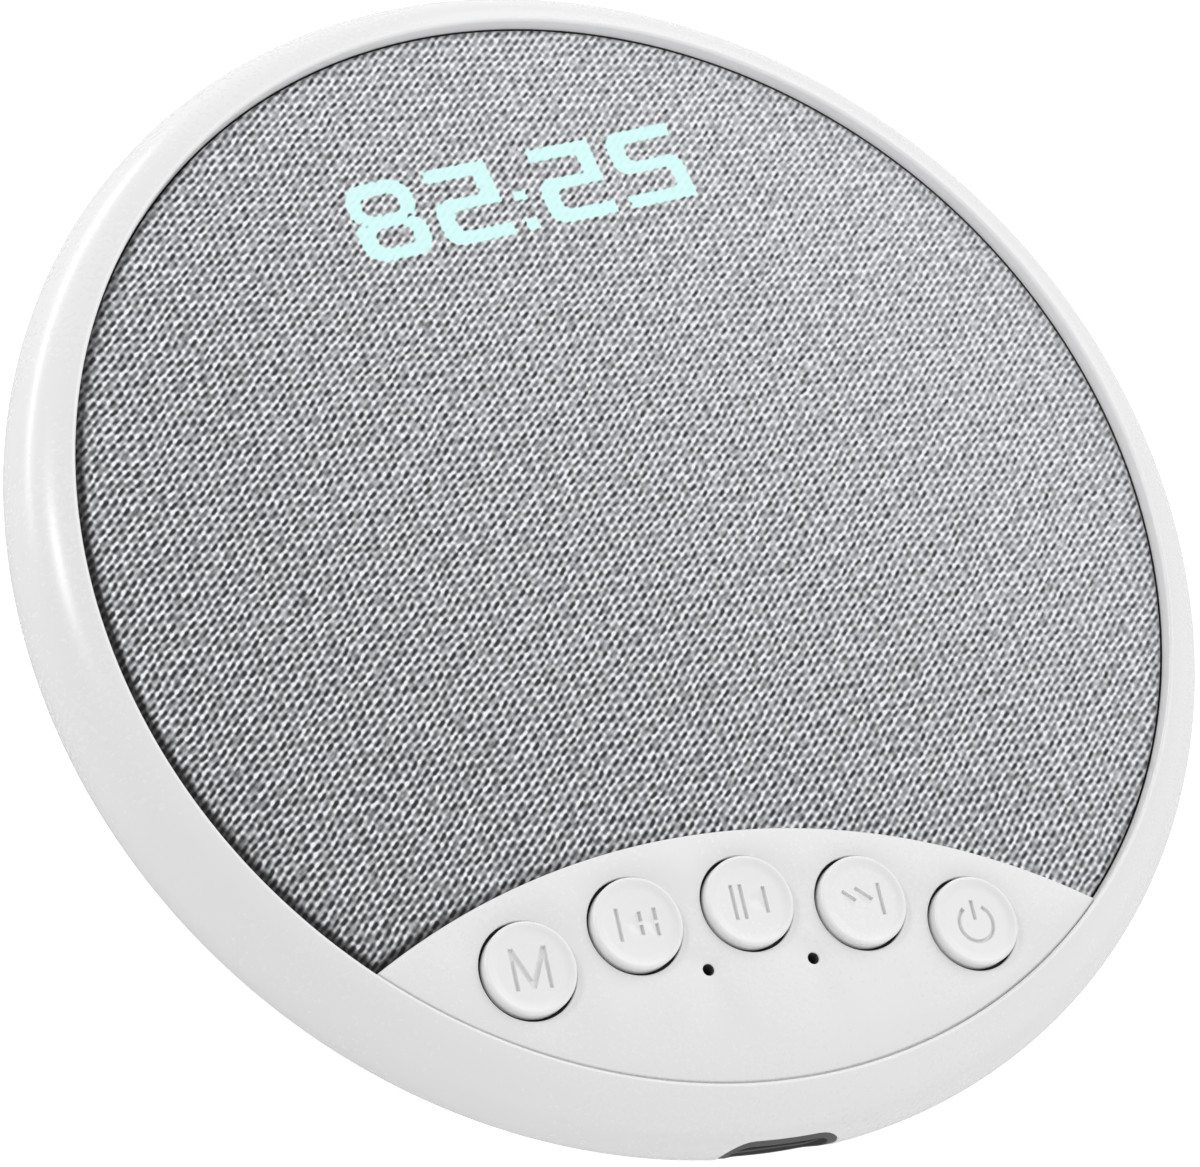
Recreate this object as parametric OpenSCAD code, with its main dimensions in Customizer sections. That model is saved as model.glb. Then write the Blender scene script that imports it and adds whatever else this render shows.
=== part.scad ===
// Pillow speaker: a flat round speaker with a cloth face, a crescent of five keys
// and a clock display that shines through the cloth.
// The origin is the middle of the resting face, +Z points out of the face and -Y to the port.

/* [Housing] */
// Outside diameter at the widest line
body_d = 110; // [106:1:124]
// Height from the resting surface to the lip
body_h = 15; // [14.8:0.2:18]
// Width of the rim seen from above
rim_w = 4.75; // [4.25:0.25:5.25]
// Radius of the rounded rim above the widest line
rim_r = 5.3; // [5:0.1:5.6]
// Wall thickness of both shells
wall = 1.8; // [1.4:0.1:2]
// Radius of the edge just under the widest line
edge_r = 4; // [3.5:0.25:4.5]
// Angle that this edge turns before the underside flattens
edge_turn = 50; // [46:1:54]
// Drop from the widest line to the seam between the shells
seam_drop = 3.4; // [3.1:0.1:3.7]
// Shadow groove between the shells
seam_gap = 0.3; // [0.2:0.1:0.5]
// Height of the rear cover's spigot above the seam
spigot_h = 2; // [1.2:0.2:2.6]

/* [Face] */
// Depth of the cloth below the lip
face_recess = 1.4; // [1:0.1:1.6]
// Gap round the cloth and the panel
face_gap = 0.3; // [0.2:0.05:0.4]
// Thickness of the cloth
cloth_t = 0.6; // [0.4:0.1:0.8]
// Thickness of the plate under the cloth
grille_t = 1.4; // [1.2:0.1:1.6]
// Thickness of the deck that carries the face
deck_t = 1.5; // [1.2:0.1:1.8]
// Diameter of a sound hole
sound_hole_d = 2.4; // [1.6:0.2:3]
// Distance between sound holes
sound_pitch = 3.6; // [3.4:0.1:4.2]
// Diameter of the locating pegs
peg_d = 2.4; // [2:0.2:3]

/* [Control panel] */
// Depth of the crescent at its middle, from the lip
panel_depth = 21.4; // [20.4:0.2:22.4]
// Radius of the crescent's upper edge
panel_arc_r = 64; // [60:1:70]
// Depth of the panel below the lip
panel_recess = 0.25; // [0.1:0.05:0.4]
// Thickness of the panel above a key's flange
panel_skin = 1.2; // [1:0.1:1.2]
// Diameter of the two pinholes
pinhole_d = 1.1; // [0.8:0.1:1.4]
// Distance between the pinholes
pinhole_pitch = 9.6; // [8.8:0.2:10.4]
// Distance of the pinholes from the crescent's upper edge
pinhole_inset = 11.4; // [11:0.2:12]

/* [Keys] */
// Diameter of a key
button_d = 7.8; // [7.4:0.2:8]
// Height of a key above the panel
button_proud = 0.8; // [0.5:0.1:1]
// Rounding of a key's upper edge
button_edge_r = 0.5; // [0.3:0.1:0.7]
// Depth of the dish in a key's face
button_dish = 0.12; // [0.06:0.02:0.2]
// Clearance between a key and its hole
button_gap = 0.4; // [0.3:0.05:0.45]
// Distance between keys along their arc
button_pitch = 10.4; // [10.2:0.1:11]
// Distance of the key centres from the crescent's upper edge
button_inset = 6.4; // [6:0.1:6.8]
// Width of the flange that keeps a key in
flange_w = 0.5; // [0.4:0.05:0.6]
// Thickness of that flange
flange_t = 0.6; // [0.4:0.05:0.6]
// Travel of a key
key_travel = 0.3; // [0.2:0.05:0.3]
// Diameter of a key's stem
stem_d = 3.2; // [2.8:0.2:4]

/* [Board] */
// Thickness of the circuit boards
board_t = 1.2; // [1:0.1:1.4]
// Reach of the main board past the crescent's upper edge
board_over = 3; // [2:0.5:4]
// Width of a switch
switch_w = 5.2; // [4.8:0.2:5.6]
// Height of a switch body
switch_h = 1.2; // [1.1:0.1:1.4]
// Diameter of a switch plunger
plunger_d = 2.6; // [2.2:0.2:3]
// Height of a plunger above its switch
plunger_proud = 0.45; // [0.4:0.05:0.6]

/* [Port] */
// Width of the charging socket
usb_w = 8.94; // [8.5:0.02:9.3]
// Height of the charging socket
usb_h = 3.26; // [3.1:0.02:3.4]
// Length of the charging socket
usb_len = 7.3; // [6.6:0.1:8]
// Wall thickness of the socket's shell
usb_wall = 0.3; // [0.2:0.05:0.4]
// Depth of the socket's mouth behind the rim
port_recess = 0.8; // [0.5:0.1:1.2]
// Clearance round the socket in its slot
port_gap = 0.5; // [0.3:0.05:0.6]
// Drop of the socket's middle below the widest line
port_drop = 0.1; // [0.05:0.05:0.3]

/* [Loudspeaker] */
// Diameter of the loudspeaker
speaker_d = 40; // [38:1:41]
// Distance of its axis above the middle
speaker_y = 1; // [0:0.5:2]
// Thickness of the gasket in front of it
gasket_t = 0.5; // [0.3:0.1:0.6]
// Thickness of its flange
basket_t = 1; // [0.8:0.1:1.2]
// Width of the rubber roll round the cone
roll_w = 2.8; // [2.4:0.1:3]
// Diameter of the centre pole
pole_d = 14; // [12:0.5:15]
// Thickness of the magnet
magnet_t = 2; // [1.6:0.1:2.2]
// Clearance on each side of the voice coil
coil_gap = 0.25; // [0.2:0.05:0.35]
// Thickness of the voice coil
coil_t = 0.5; // [0.4:0.05:0.6]
// Largest travel of the cone each way
cone_travel = 0.7; // [0.4:0.1:0.8]

/* [Display] */
// Length of the display
display_l = 36; // [35.8:0.1:36.8]
// Height of the display across its digits
display_h = 10.2; // [10:0.1:10.6]
// Distance of the digits' middle line from the lip
display_inset = 17.1; // [16.8:0.1:17.6]
// Turn of the display about the middle of the face
display_turn = 12; // [9:0.5:14]
// Shift of the display along its row
display_shift = 2.1; // [1.5:0.1:2.5]
// Margin of the display at each end of its row
display_end = 0.9; // [0.7:0.1:1.2]
// Space between the digits of a pair
digit_space = 1.2; // [1:0.1:1.4]
// Height of a digit
digit_h = 8; // [7.4:0.1:8.2]
// Width of a digit's strokes
digit_stroke = 1.5; // [1.2:0.1:1.6]
// Distance from the colon's middle to the digit beside it
colon_gap = 1.9; // [1.7:0.1:2]

/* [Battery] */
// Length of the cell
battery_l = 35; // [32:0.5:36]
// Width of the cell
battery_w = 20; // [18:0.5:21]
// Thickness of the cell
battery_t = 3.6; // [3:0.1:3.7]
// Thickness of the pad under it
pad_t = 0.5; // [0.4:0.1:0.6]

/* [Feet and screws] */
// Mean radius of the foot ring
foot_r = 33.5; // [32.5:0.25:33.5]
// Width of the foot ring
foot_w = 6.4; // [6:0.1:7]
// Thickness of the foot ring
foot_t = 1.3; // [1.1:0.1:1.6]
// Height of the foot ring below the rear cover
foot_proud = 0.7; // [0.5:0.1:0.9]
// Core diameter of the case screws
screw_d = 2.1; // [1.8:0.1:2.4]
// Head diameter of the case screws
screw_head_d = 4.6; // [4:0.1:4.8]
// Head height of the case screws
screw_head_h = 1.6; // [1.3:0.1:1.8]
// Length of the case screws under the head
screw_l = 6; // [5:0.2:6.4]
// Core diameter of the small screws
small_screw_d = 1.6; // [1.4:0.1:1.8]
// Head diameter of the small screws
small_head_d = 3.6; // [3.2:0.1:3.8]
// Length of the small screws under the head
small_screw_l = 3.8; // [3.4:0.1:4]

/* [Hidden] */
$fn = 180;

// Turn between two points of an arc in the outline
arc_step = 5;
// Small overlap of a cut past the face it opens
cut = 0.1;
// Root of a boss in the wall that carries it
root = 0.4;
// Clearance between pieces that are laid or glued together
bond_gap = 0.05;
// Clearance of a part that drops into its seat
seat_gap = 0.2;
// Least clearance between the board and the shell
shell_gap = 0.6;

// Outline of the body: the arcs of the rim, the edge and the underside
body_r = body_d / 2;
lip_r = body_r - rim_w;
rim_x = body_r - rim_r;
z_lip = body_h;
z_wide = z_lip - sqrt(rim_r * rim_r - (lip_r - rim_x) * (lip_r - rim_x));
z_floor = foot_proud;
z_seam = z_wide - seam_drop;
edge_x = body_r - edge_r;
under_r = (z_wide - z_floor - edge_r * sin(edge_turn)) / (1 - sin(edge_turn));
under_x = edge_x - (under_r - edge_r) * cos(edge_turn);
under_z = z_floor + under_r;

// Levels of the face, from the cloth down to the deck's lower side
z_face = z_lip - face_recess;
z_cloth = z_face - cloth_t;
z_deck = z_cloth - grille_t;
z_under = z_deck - deck_t;

// Crescent, keys and pinholes on arcs about one centre
arc_y = -lip_r + panel_depth - panel_arc_r;
key_arc_r = panel_arc_r - button_inset;
key_step = button_pitch / key_arc_r * 180 / PI;
pin_arc_r = panel_arc_r - pinhole_inset;
pin_step = asin(pinhole_pitch / 2 / pin_arc_r);
key_hole_d = button_d + 2 * button_gap;
flange_d = key_hole_d + 2 * flange_w;
flange_gap = 0.2;
tab_w = 1.6;
tab_reach = 0.7;
z_panel = z_lip - panel_recess;
z_flange = z_panel - panel_skin - bond_gap;

// Board, switches and port, set by the height of the socket's middle
z_port = z_wide - port_drop;
z_board = z_port - usb_h / 2;
z_switch = z_board + switch_h;
z_plunger = z_switch + plunger_proud;
switch_floor = 0.3;
board_r = lower_r(wall, z_board - board_t) - shell_gap;
board_y = arc_y + panel_arc_r + board_over;
usb_y = -(body_r - port_recess);
usb_back = usb_y + usb_len;
tongue_w = 6.7;
tongue_t = 0.7;
tongue_base = 2.2;
chip_t = 0.9;
sound_chip_w = 5;
amplifier_chip_w = 4;
charger_chip_w = 3;
chip_inset = 12.4;
charger_inset = 13.4;
chip_turn = 16.9;
microphone_t = 1.1;
led_t = 0.6;

// Case screws, in sleeves that meet the bosses at one level
screw_angles = [20, 160, 224, 316];
z_seat = foot_t + screw_head_h + seat_gap;
seat_t = 1.4;
z_joint = z_seat + seat_t;
screw_gap = 0.05;
head_gap = 0.3;
boss_wall = 1.6;
boss_d = screw_d + 2 * screw_gap + 2 * boss_wall;
sleeve_wall = 1.1;
sleeve_d = screw_head_d + 2 * head_gap + 2 * sleeve_wall;
tip_gap = 0.5;

// Small screws, for the boards and the loudspeaker
small_wall = 1.4;
post_d = small_screw_d + 2 * screw_gap + 2 * small_wall;
small_head_h = 1.2;
board_hole_inset = 4.4;
board_hole_edge = 3.9;
low_hole_inset = 15;
low_hole_turn = 11.2;
board_corner = on_both(lip_r - board_hole_inset, panel_arc_r + board_over - board_hole_edge);
board_places = concat(
    [for (side = [-1, 1]) [side * board_corner[0], board_corner[1]]],
    [for (side = [-1, 1]) on_crescent(low_hole_inset, side * low_hole_turn)]
);

// Pegs of the grille plate and of the control panel
plate_peg_inset = 7;
plate_peg_angles = [5, 54, 142, 175];
plate_pegs = [for (a = plate_peg_angles) in_from_lip(plate_peg_inset, a)];
panel_peg_inset = 3.1;
panel_peg_turn = 19;
panel_pegs = [for (side = [-1, 1]) in_from_lip(panel_peg_inset, side * panel_peg_turn - 90)];

// Loudspeaker levels, measured down from the deck
speaker_r = speaker_d / 2;
z_flange_top = z_under - gasket_t;
z_flange_low = z_flange_top - basket_t;
pole_r = pole_d / 2;
coil_in = pole_r + coil_gap;
coil_out = coil_in + coil_t;
gap_r = coil_out + coil_gap;
yoke_wall = 1.5;
yoke_r = gap_r + yoke_wall;
yoke_t = 0.9;
pole_t = 1;
pole_drop = 2.4;
z_pole = z_flange_top - pole_drop;
z_magnet = z_pole - pole_t;
z_yoke = z_magnet - magnet_t - yoke_t;
coil_reach = 0.8;
cap_clear = 1;
z_coil = z_pole + cone_travel + cap_clear;
cone_t = 0.35;
cone_rise = 0.9;
lip_w = 1.2;
basket_rim_w = 2.6;
flange_in = speaker_r - basket_rim_w;
roll_t = 0.3;
roll_seat = 0.7;
roll_x = flange_in + roll_seat - roll_w / 2;
cone_r = roll_x - roll_w / 2 + lip_w / 2;
basket_low_r = yoke_r + bond_gap;
ring_w = 1.6;
ring_t = 1;
ring_drop = 0.9;
z_ring = z_magnet - ring_drop;
arm_t = 0.6;
opening_over = 1.1;
opening_r = flange_in + opening_over;
z_roll = z_flange_top + roll_t + bond_gap;
z_cone = z_roll - bond_gap;
speaker_holes = [30, 150, 270];
speaker_head_d = 6;
speaker_hole_r = speaker_r + post_d / 2 + seat_gap;
terminal_x = 5;
terminal_w = 3;
terminal_out = 1.6;
lead_d = 1;

// Display on its own turned row
row_y = lip_r - display_inset;
segment_depth = 3;
segment_gap = 0.25;
post_gap = 0.6;
display_hole_x = display_l / 2 + post_d / 2 + post_gap;
display_board_l = 2 * display_hole_x + post_d;
display_margin = 2.5;
display_board_w = display_h + 2 * display_margin;
z_display = z_cloth - bond_gap;
digit_pitch = (display_l / 2 - display_end - colon_gap + digit_space) / 2;
digit_w = digit_pitch - digit_space;
digit_x = [for (side = [-1, 1], pair = [0, 1]) side * (colon_gap + digit_w / 2 + pair * digit_pitch)];
ribbon_w = 4;
ribbon_t = 0.5;
ribbon_x = 14;
ribbon_drop = 1.9;
ribbon_lift = 4.8;
ribbon_lap = 5.2;
ribbon_route = [
    on_row(ribbon_x, -display_h / 2 - ribbon_drop),
    [25.4, 18], [25.4, 6], [22.6, -6],
    [18, board_y + ribbon_lift], [18, board_y - ribbon_lap]
];

// Battery on the floor of the rear cover, midway between the loudspeaker and the shell
z_pad = z_floor + wall;
z_cell = z_pad + bond_gap + pad_t;
cell_edge = 1.4;
cell_near = basket_r(z_cell + battery_t) - speaker_y;
cell_far = sqrt(pow(lower_r(wall, z_cell), 2) - pow(battery_l / 2, 2)) + cell_edge;
battery_y = (cell_near + cell_far) / 2;
rib_t = 1.2;
rib_h = 2.4;
rib_l = 6;
bend_r = 1.1;
lead_rows = [-5, -7.5];

// Radius of the underside, inset by a wall, at a given height
function lower_r(inset, z) =
    z > z_wide - (edge_r - inset) * sin(edge_turn)
        ? edge_x + sqrt(pow(edge_r - inset, 2) - pow(z_wide - z, 2))
        : under_x + sqrt(pow(under_r - inset, 2) - pow(under_z - z, 2));

// Place at a distance from the crescent's upper edge, at an angle about its centre
function on_crescent(inset, a) = [0, arc_y] + (panel_arc_r - inset) * [sin(a), cos(a)];

// Place of key number i, counted from the middle key
function key_at(i) = on_crescent(button_inset, i * key_step);

// Place of a pinhole, on side -1 or 1
function pin_at(side) = on_crescent(pinhole_inset, side * pin_step);

// Place at +X that lies on a circle about the middle and on one about the crescent's centre
function on_both(r, arc_r) =
    let (y = (r * r + arc_y * arc_y - arc_r * arc_r) / (2 * arc_y))
    [sqrt(r * r - y * y), y];

// Place at a distance inside the lip, at an angle about the middle
function in_from_lip(inset, a) = (lip_r - inset) * [cos(a), sin(a)];

// Place on the face of a point on the display, counted from its middle
function on_row(x, y) =
    [
        (x + display_shift) * cos(display_turn) - (y + row_y) * sin(display_turn),
        (x + display_shift) * sin(display_turn) + (y + row_y) * cos(display_turn)
    ];

// Direction of one stretch of the ribbon
function ribbon_run(i) =
    let (step = ribbon_route[i + 1] - ribbon_route[i])
    step / norm(step);

// Sideways step of the ribbon at point i, lengthened for the mitre
function ribbon_side(i) =
    let (m = ribbon_run(max(i - 1, 0)) + ribbon_run(min(i, len(ribbon_route) - 2)))
    2 * [-m[1], m[0]] / (m * m);

// Radius of the loudspeaker's tapering underside at a given height
function basket_r(z) =
    let (low = basket_low_r + ring_w, high = flange_in + arm_t)
    low + (high - low) * (z - z_ring) / (z_flange_low - z_ring);

function case_screw_at(a) = foot_r * [cos(a), sin(a)];

function speaker_hole_at(a) = [0, speaker_y] + speaker_hole_r * [cos(a), sin(a)];

// Points of an arc about a centre, after its first point
function arc(centre, r, from, to) =
    let (n = ceil(abs(to - from) / arc_step))
    [for (i = [1:n]) let (a = from + (to - from) * i / n) centre + r * [cos(a), sin(a)]];

// Half outline of the body, drawn in by inset
module envelope(inset) {
    polygon(concat(
        [[0, z_wide + rim_r - inset], [0, z_floor + inset], [under_x, z_floor + inset]],
        arc([under_x, under_z], under_r - inset, -90, -edge_turn),
        arc([edge_x, z_wide], edge_r - inset, -edge_turn, 0),
        arc([rim_x, z_wide], rim_r - inset, 0, 90)
    ));
}

// Outline of the cloth side of the face, drawn in by inset
module cloth_outline(inset) {
    difference() {
        circle(lip_r - face_gap - inset);
        translate([0, arc_y])
            circle(panel_arc_r + face_gap + inset);
    }
}

// Stadium of a given width and height, lying along X
module stadium(w, h) {
    square([w - h, h], center = true);
    for (side = [-1, 1])
        translate([side * (w - h) / 2, 0])
            circle(d = h);
}

// Prism with a section drawn in X and Z, running from y0 along +Y
module along_y(y0, length) {
    translate([0, y0 + length, 0])
        rotate([90, 0, 0])
            linear_extrude(length)
                children();
}

// Moves to the middle of the display, turned with its row
module at_display() {
    rotate([0, 0, display_turn])
        translate([display_shift, row_y, 0])
            children();
}

// Pan-head screw that points up, with the seat of its head at z = 0
module screw(d, l, head_d, head_h) {
    cylinder(d = d, h = l);
    translate([0, 0, -head_h])
        cylinder(d = head_d, h = head_h);
}

// Bosses under the deck, down to a level
module bosses(places, d, z_end) {
    for (p = places)
        translate([p[0], p[1], z_end])
            cylinder(d = d, h = z_under + root - z_end);
}

// Blind holes in those bosses
module pilots(places, d, z_end, depth) {
    for (p = places)
        translate([p[0], p[1], z_end - cut])
            cylinder(d = d + 2 * screw_gap, h = depth + tip_gap + cut);
}

module front_housing() {
    case_places = [for (a = screw_angles) case_screw_at(a)];
    speaker_places = [for (a = speaker_holes) speaker_hole_at(a)];
    small_grip = small_screw_l - board_t;
    color("white")
    difference() {
        union() {
            rotate_extrude() {
                difference() {
                    intersection() {
                        envelope(0);
                        translate([0, z_seam])
                            square([body_r + 1, z_lip]);
                    }
                    translate([-cut, z_deck])
                        square([lip_r + cut, z_lip]);
                    intersection() {
                        envelope(wall);
                        translate([0, z_floor])
                            square([body_r, z_under - z_floor]);
                    }
                }
            }
            bosses(case_places, boss_d, z_joint);
            bosses(board_places, post_d, z_board);
            bosses(speaker_places, post_d, z_flange_low);
            at_display()
                bosses([[display_hole_x, 0], [-display_hole_x, 0]], post_d, z_board);
        }
        pilots(case_places, screw_d, z_joint, screw_l - seat_t);
        pilots(board_places, small_screw_d, z_board, small_grip);
        pilots(speaker_places, small_screw_d, z_flange_low, small_grip);
        at_display() {
            pilots([[display_hole_x, 0], [-display_hole_x, 0]], small_screw_d, z_board, small_grip);
            translate([0, 0, z_deck - deck_t / 2])
                cube([display_l + 2 * seat_gap, display_h + 2 * seat_gap, deck_t + 2 * cut], center = true);
        }
        translate([0, speaker_y, z_under - cut])
            cylinder(r = opening_r, h = deck_t + 2 * cut);
        for (i = [-2:2])
            translate([key_at(i)[0], key_at(i)[1], z_under - cut])
                cylinder(d = stem_d + 2 * button_gap, h = deck_t + 2 * cut);
        for (side = [-1, 1])
            translate([pin_at(side)[0], pin_at(side)[1], z_under - cut])
                cylinder(d = pinhole_d + 2 * seat_gap, h = deck_t + 2 * cut);
        for (p = concat(plate_pegs, panel_pegs))
            translate([p[0], p[1], z_under - cut])
                cylinder(d = peg_d + 2 * seat_gap, h = deck_t + 2 * cut);
        translate([0, 0, z_port])
            along_y(-body_r - 1, usb_back + port_gap + body_r + 1)
                stadium(usb_w + 2 * port_gap, usb_h + 2 * port_gap);
    }
}

module rear_cover() {
    spigot_r = lower_r(wall, z_seam) - seat_gap;
    spigot_t = 1;
    spigot_root = 1.5;
    color("white")
    difference() {
        union() {
            rotate_extrude() {
                difference() {
                    intersection() {
                        envelope(0);
                        square([body_r + 1, z_seam - seam_gap]);
                    }
                    envelope(wall);
                }
            }
            difference() {
                translate([0, 0, z_seam - spigot_root])
                    rotate_extrude()
                        translate([spigot_r - spigot_t, 0])
                            square([spigot_t, spigot_root + spigot_h]);
                translate([-body_r, -body_r, 0])
                    cube([body_d, body_r + board_y + shell_gap, z_lip]);
            }
            for (a = screw_angles)
                translate([case_screw_at(a)[0], case_screw_at(a)[1], z_pad - root])
                    cylinder(d = sleeve_d, h = z_joint - z_pad + root);
            battery_ribs();
        }
        rotate_extrude()
            translate([foot_r - foot_w / 2 - bond_gap, -cut])
                square([foot_w + 2 * bond_gap, foot_t + cut]);
        for (a = screw_angles)
            translate([case_screw_at(a)[0], case_screw_at(a)[1], 0]) {
                cylinder(d = screw_head_d + 2 * head_gap, h = z_seat);
                cylinder(d = screw_d + 2 * head_gap, h = z_joint + cut);
            }
    }
}

// Corner ribs of the rear cover that locate the cell
module battery_ribs() {
    half_l = battery_l / 2 + seat_gap;
    half_w = battery_w / 2 + seat_gap;
    translate([0, -battery_y, z_pad - root])
        for (side = [-1, 1])
            translate([side * (half_l - rib_l), half_w, 0])
                mirror([side < 0 ? 1 : 0, 0, 0])
                    cube([rib_l, rib_t, rib_h + root]);
    translate([0, -battery_y, z_pad - root])
        for (side = [-1, 1])
            translate([side * half_l, half_w - rib_l, 0])
                mirror([side < 0 ? 1 : 0, 0, 0])
                    cube([rib_t, rib_l + rib_t, rib_h + root]);
}

module foot_ring() {
    color("dimgray")
        rotate_extrude()
            translate([foot_r - foot_w / 2, 0])
                square([foot_w, foot_t]);
}

module case_screws() {
    color("silver")
        for (a = screw_angles)
            translate([case_screw_at(a)[0], case_screw_at(a)[1], z_seat])
                screw(screw_d, screw_l, screw_head_d, screw_head_h);
}

module grille_plate() {
    rings = floor((opening_r - sound_hole_d / 2) / sound_pitch);
    color("black")
    union() {
        translate([0, 0, z_deck])
            linear_extrude(grille_t)
                difference() {
                    cloth_outline(cloth_t + bond_gap);
                    translate([0, speaker_y])
                        for (row = [-rings:rings])
                            for (i = [0:2 * rings - abs(row)])
                                translate(sound_pitch * [i - rings + abs(row) / 2, row * sin(60)])
                                    circle(d = sound_hole_d, $fn = 24);
                    at_display()
                        square([display_l + 2 * seat_gap, display_h + 2 * seat_gap], center = true);
                }
        for (p = plate_pegs)
            translate([p[0], p[1], z_under])
                cylinder(d = peg_d, h = deck_t + root);
    }
}

// Cloth stretched over the plate and turned down round its edge
module grille_cloth() {
    color("darkgray")
    difference() {
        translate([0, 0, z_deck + bond_gap])
            linear_extrude(z_face - z_deck - bond_gap)
                cloth_outline(0);
        translate([0, 0, z_deck - cut])
            linear_extrude(grille_t + cut)
                cloth_outline(cloth_t);
    }
}

module control_panel() {
    pocket_d = flange_d + 2 * flange_gap;
    color("white")
    union() {
        difference() {
            translate([0, 0, z_deck])
                linear_extrude(z_panel - z_deck)
                    intersection() {
                        circle(lip_r - face_gap / 2);
                        translate([0, arc_y])
                            circle(panel_arc_r);
                    }
            for (i = [-2:2])
                translate([key_at(i)[0], key_at(i)[1], z_deck - cut]) {
                    cylinder(d = key_hole_d, h = z_lip);
                    cylinder(d = pocket_d, h = z_panel - panel_skin - z_deck + cut);
                    translate([-tab_w / 2 - flange_gap, -pocket_d / 2 - tab_reach, 0])
                        cube([tab_w + 2 * flange_gap, pocket_d / 2, z_panel - panel_skin - z_deck + cut]);
                }
            for (side = [-1, 1])
                translate([pin_at(side)[0], pin_at(side)[1], z_deck - cut])
                    cylinder(d = pinhole_d, h = z_lip);
        }
        for (p = panel_pegs)
            translate([p[0], p[1], z_under])
                cylinder(d = peg_d, h = deck_t + root);
    }
}

// Key number i: a dished cap, the flange with its tab, and the stem
module key(i) {
    cap_r = button_d / 2;
    z_top = z_panel + button_proud;
    dish_edge = cap_r - button_edge_r;
    dish_r = (dish_edge * dish_edge + button_dish * button_dish) / (2 * button_dish);
    translate([key_at(i)[0], key_at(i)[1], 0])
    difference() {
        union() {
            rotate_extrude() {
                translate([0, z_flange - flange_t])
                    square([cap_r, z_top - button_edge_r - z_flange + flange_t]);
                translate([0, z_top - button_edge_r - cut])
                    square([cap_r - button_edge_r, button_edge_r + cut]);
                intersection() {
                    translate([cap_r - button_edge_r, z_top - button_edge_r])
                        circle(button_edge_r);
                    translate([cap_r - button_edge_r - cut, z_top - button_edge_r - cut])
                        square(button_edge_r + 2 * cut);
                }
                translate([0, z_flange - flange_t])
                    square([flange_d / 2, flange_t]);
                translate([0, z_plunger])
                    square([stem_d / 2, z_flange - z_plunger]);
            }
            translate([-tab_w / 2, -flange_d / 2 - tab_reach, z_flange - flange_t])
                cube([tab_w, flange_d / 2, flange_t]);
        }
        translate([0, 0, z_top - button_dish + dish_r])
            sphere(dish_r);
    }
}

module mode_button() color("white") key(-2);
module previous_button() color("white") key(-1);
module play_button() color("white") key(0);
module next_button() color("white") key(1);
module power_button() color("white") key(2);

// Plunger of the switch under key number i, which moves with the key
module plunger(i) {
    z_low = z_board + switch_floor + key_travel + bond_gap;
    translate([key_at(i)[0], key_at(i)[1], z_low])
        cylinder(d = plunger_d, h = z_plunger - z_low);
}

module mode_plunger() color("dimgray") plunger(-2);
module previous_plunger() color("dimgray") plunger(-1);
module play_plunger() color("dimgray") plunger(0);
module next_plunger() color("dimgray") plunger(1);
module power_plunger() color("dimgray") plunger(2);

module switch_bodies() {
    color("silver")
        for (i = [-2:2])
            translate([key_at(i)[0], key_at(i)[1], z_board])
                difference() {
                    translate([-switch_w / 2, -switch_w / 2, 0])
                        cube([switch_w, switch_w, switch_h]);
                    translate([0, 0, switch_floor])
                        cylinder(d = plunger_d + 2 * seat_gap, h = switch_h);
                }
}

module main_board() {
    color("darkgreen")
    translate([0, 0, z_board - board_t])
        linear_extrude(board_t)
            difference() {
                intersection() {
                    circle(board_r);
                    translate([0, arc_y])
                        circle(panel_arc_r + board_over);
                }
                for (p = board_places)
                    translate(p)
                        circle(d = small_screw_d + 2 * seat_gap);
                for (a = speaker_holes)
                    translate(speaker_hole_at(a))
                        circle(d = speaker_head_d + 2 * head_gap);
                for (a = screw_angles)
                    translate(case_screw_at(a))
                        circle(d = boss_d + 2 * head_gap);
            }
}

module board_screws() {
    color("silver")
        for (p = board_places)
            translate([p[0], p[1], z_board - board_t])
                screw(small_screw_d, small_screw_l, small_head_d, small_head_h);
}

// Chip of a given width and depth, on the main board
module chip(place, w, depth) {
    translate([place[0] - w / 2, place[1] - depth / 2, z_board])
        cube([w, depth, chip_t]);
}

// Sound chip, amplifier and charger
module board_chips() {
    color("black") {
        chip(on_crescent(chip_inset, chip_turn), sound_chip_w, sound_chip_w);
        chip(on_crescent(chip_inset, -chip_turn), sound_chip_w, amplifier_chip_w);
        chip(on_crescent(charger_inset, 0), charger_chip_w, charger_chip_w);
    }
}

module usb_shell() {
    color("silver")
    translate([0, 0, z_port])
        along_y(usb_y, usb_len)
            difference() {
                stadium(usb_w, usb_h);
                stadium(usb_w - 2 * usb_wall, usb_h - 2 * usb_wall);
            }
}

module usb_tongue() {
    inner = 2 * usb_wall + 2 * bond_gap;
    color("dimgray")
    translate([0, 0, z_port]) {
        along_y(usb_back - tongue_base, tongue_base)
            stadium(usb_w - inner, usb_h - inner);
        along_y(usb_y + usb_wall, usb_len - tongue_base)
            square([tongue_w, tongue_t], center = true);
    }
}

module microphone() {
    size = [3.8, 3, microphone_t];
    color("gold")
        translate([pin_at(-1)[0] - size[0] / 2, pin_at(-1)[1] - size[1] / 2, z_board])
            cube(size);
}

module microphone_boot() {
    boot_d = 3.6;
    color("black")
    translate([pin_at(-1)[0], pin_at(-1)[1], z_board + microphone_t])
        difference() {
            cylinder(d = boot_d, h = z_under - z_board - microphone_t);
            translate([0, 0, -cut])
                cylinder(d = pinhole_d + 2 * seat_gap, h = z_under);
        }
}

module status_led() {
    size = [1.6, 0.8, led_t];
    color("lightyellow")
        translate([pin_at(1)[0] - size[0] / 2, pin_at(1)[1] - size[1] / 2, z_board])
            cube(size);
}

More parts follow.
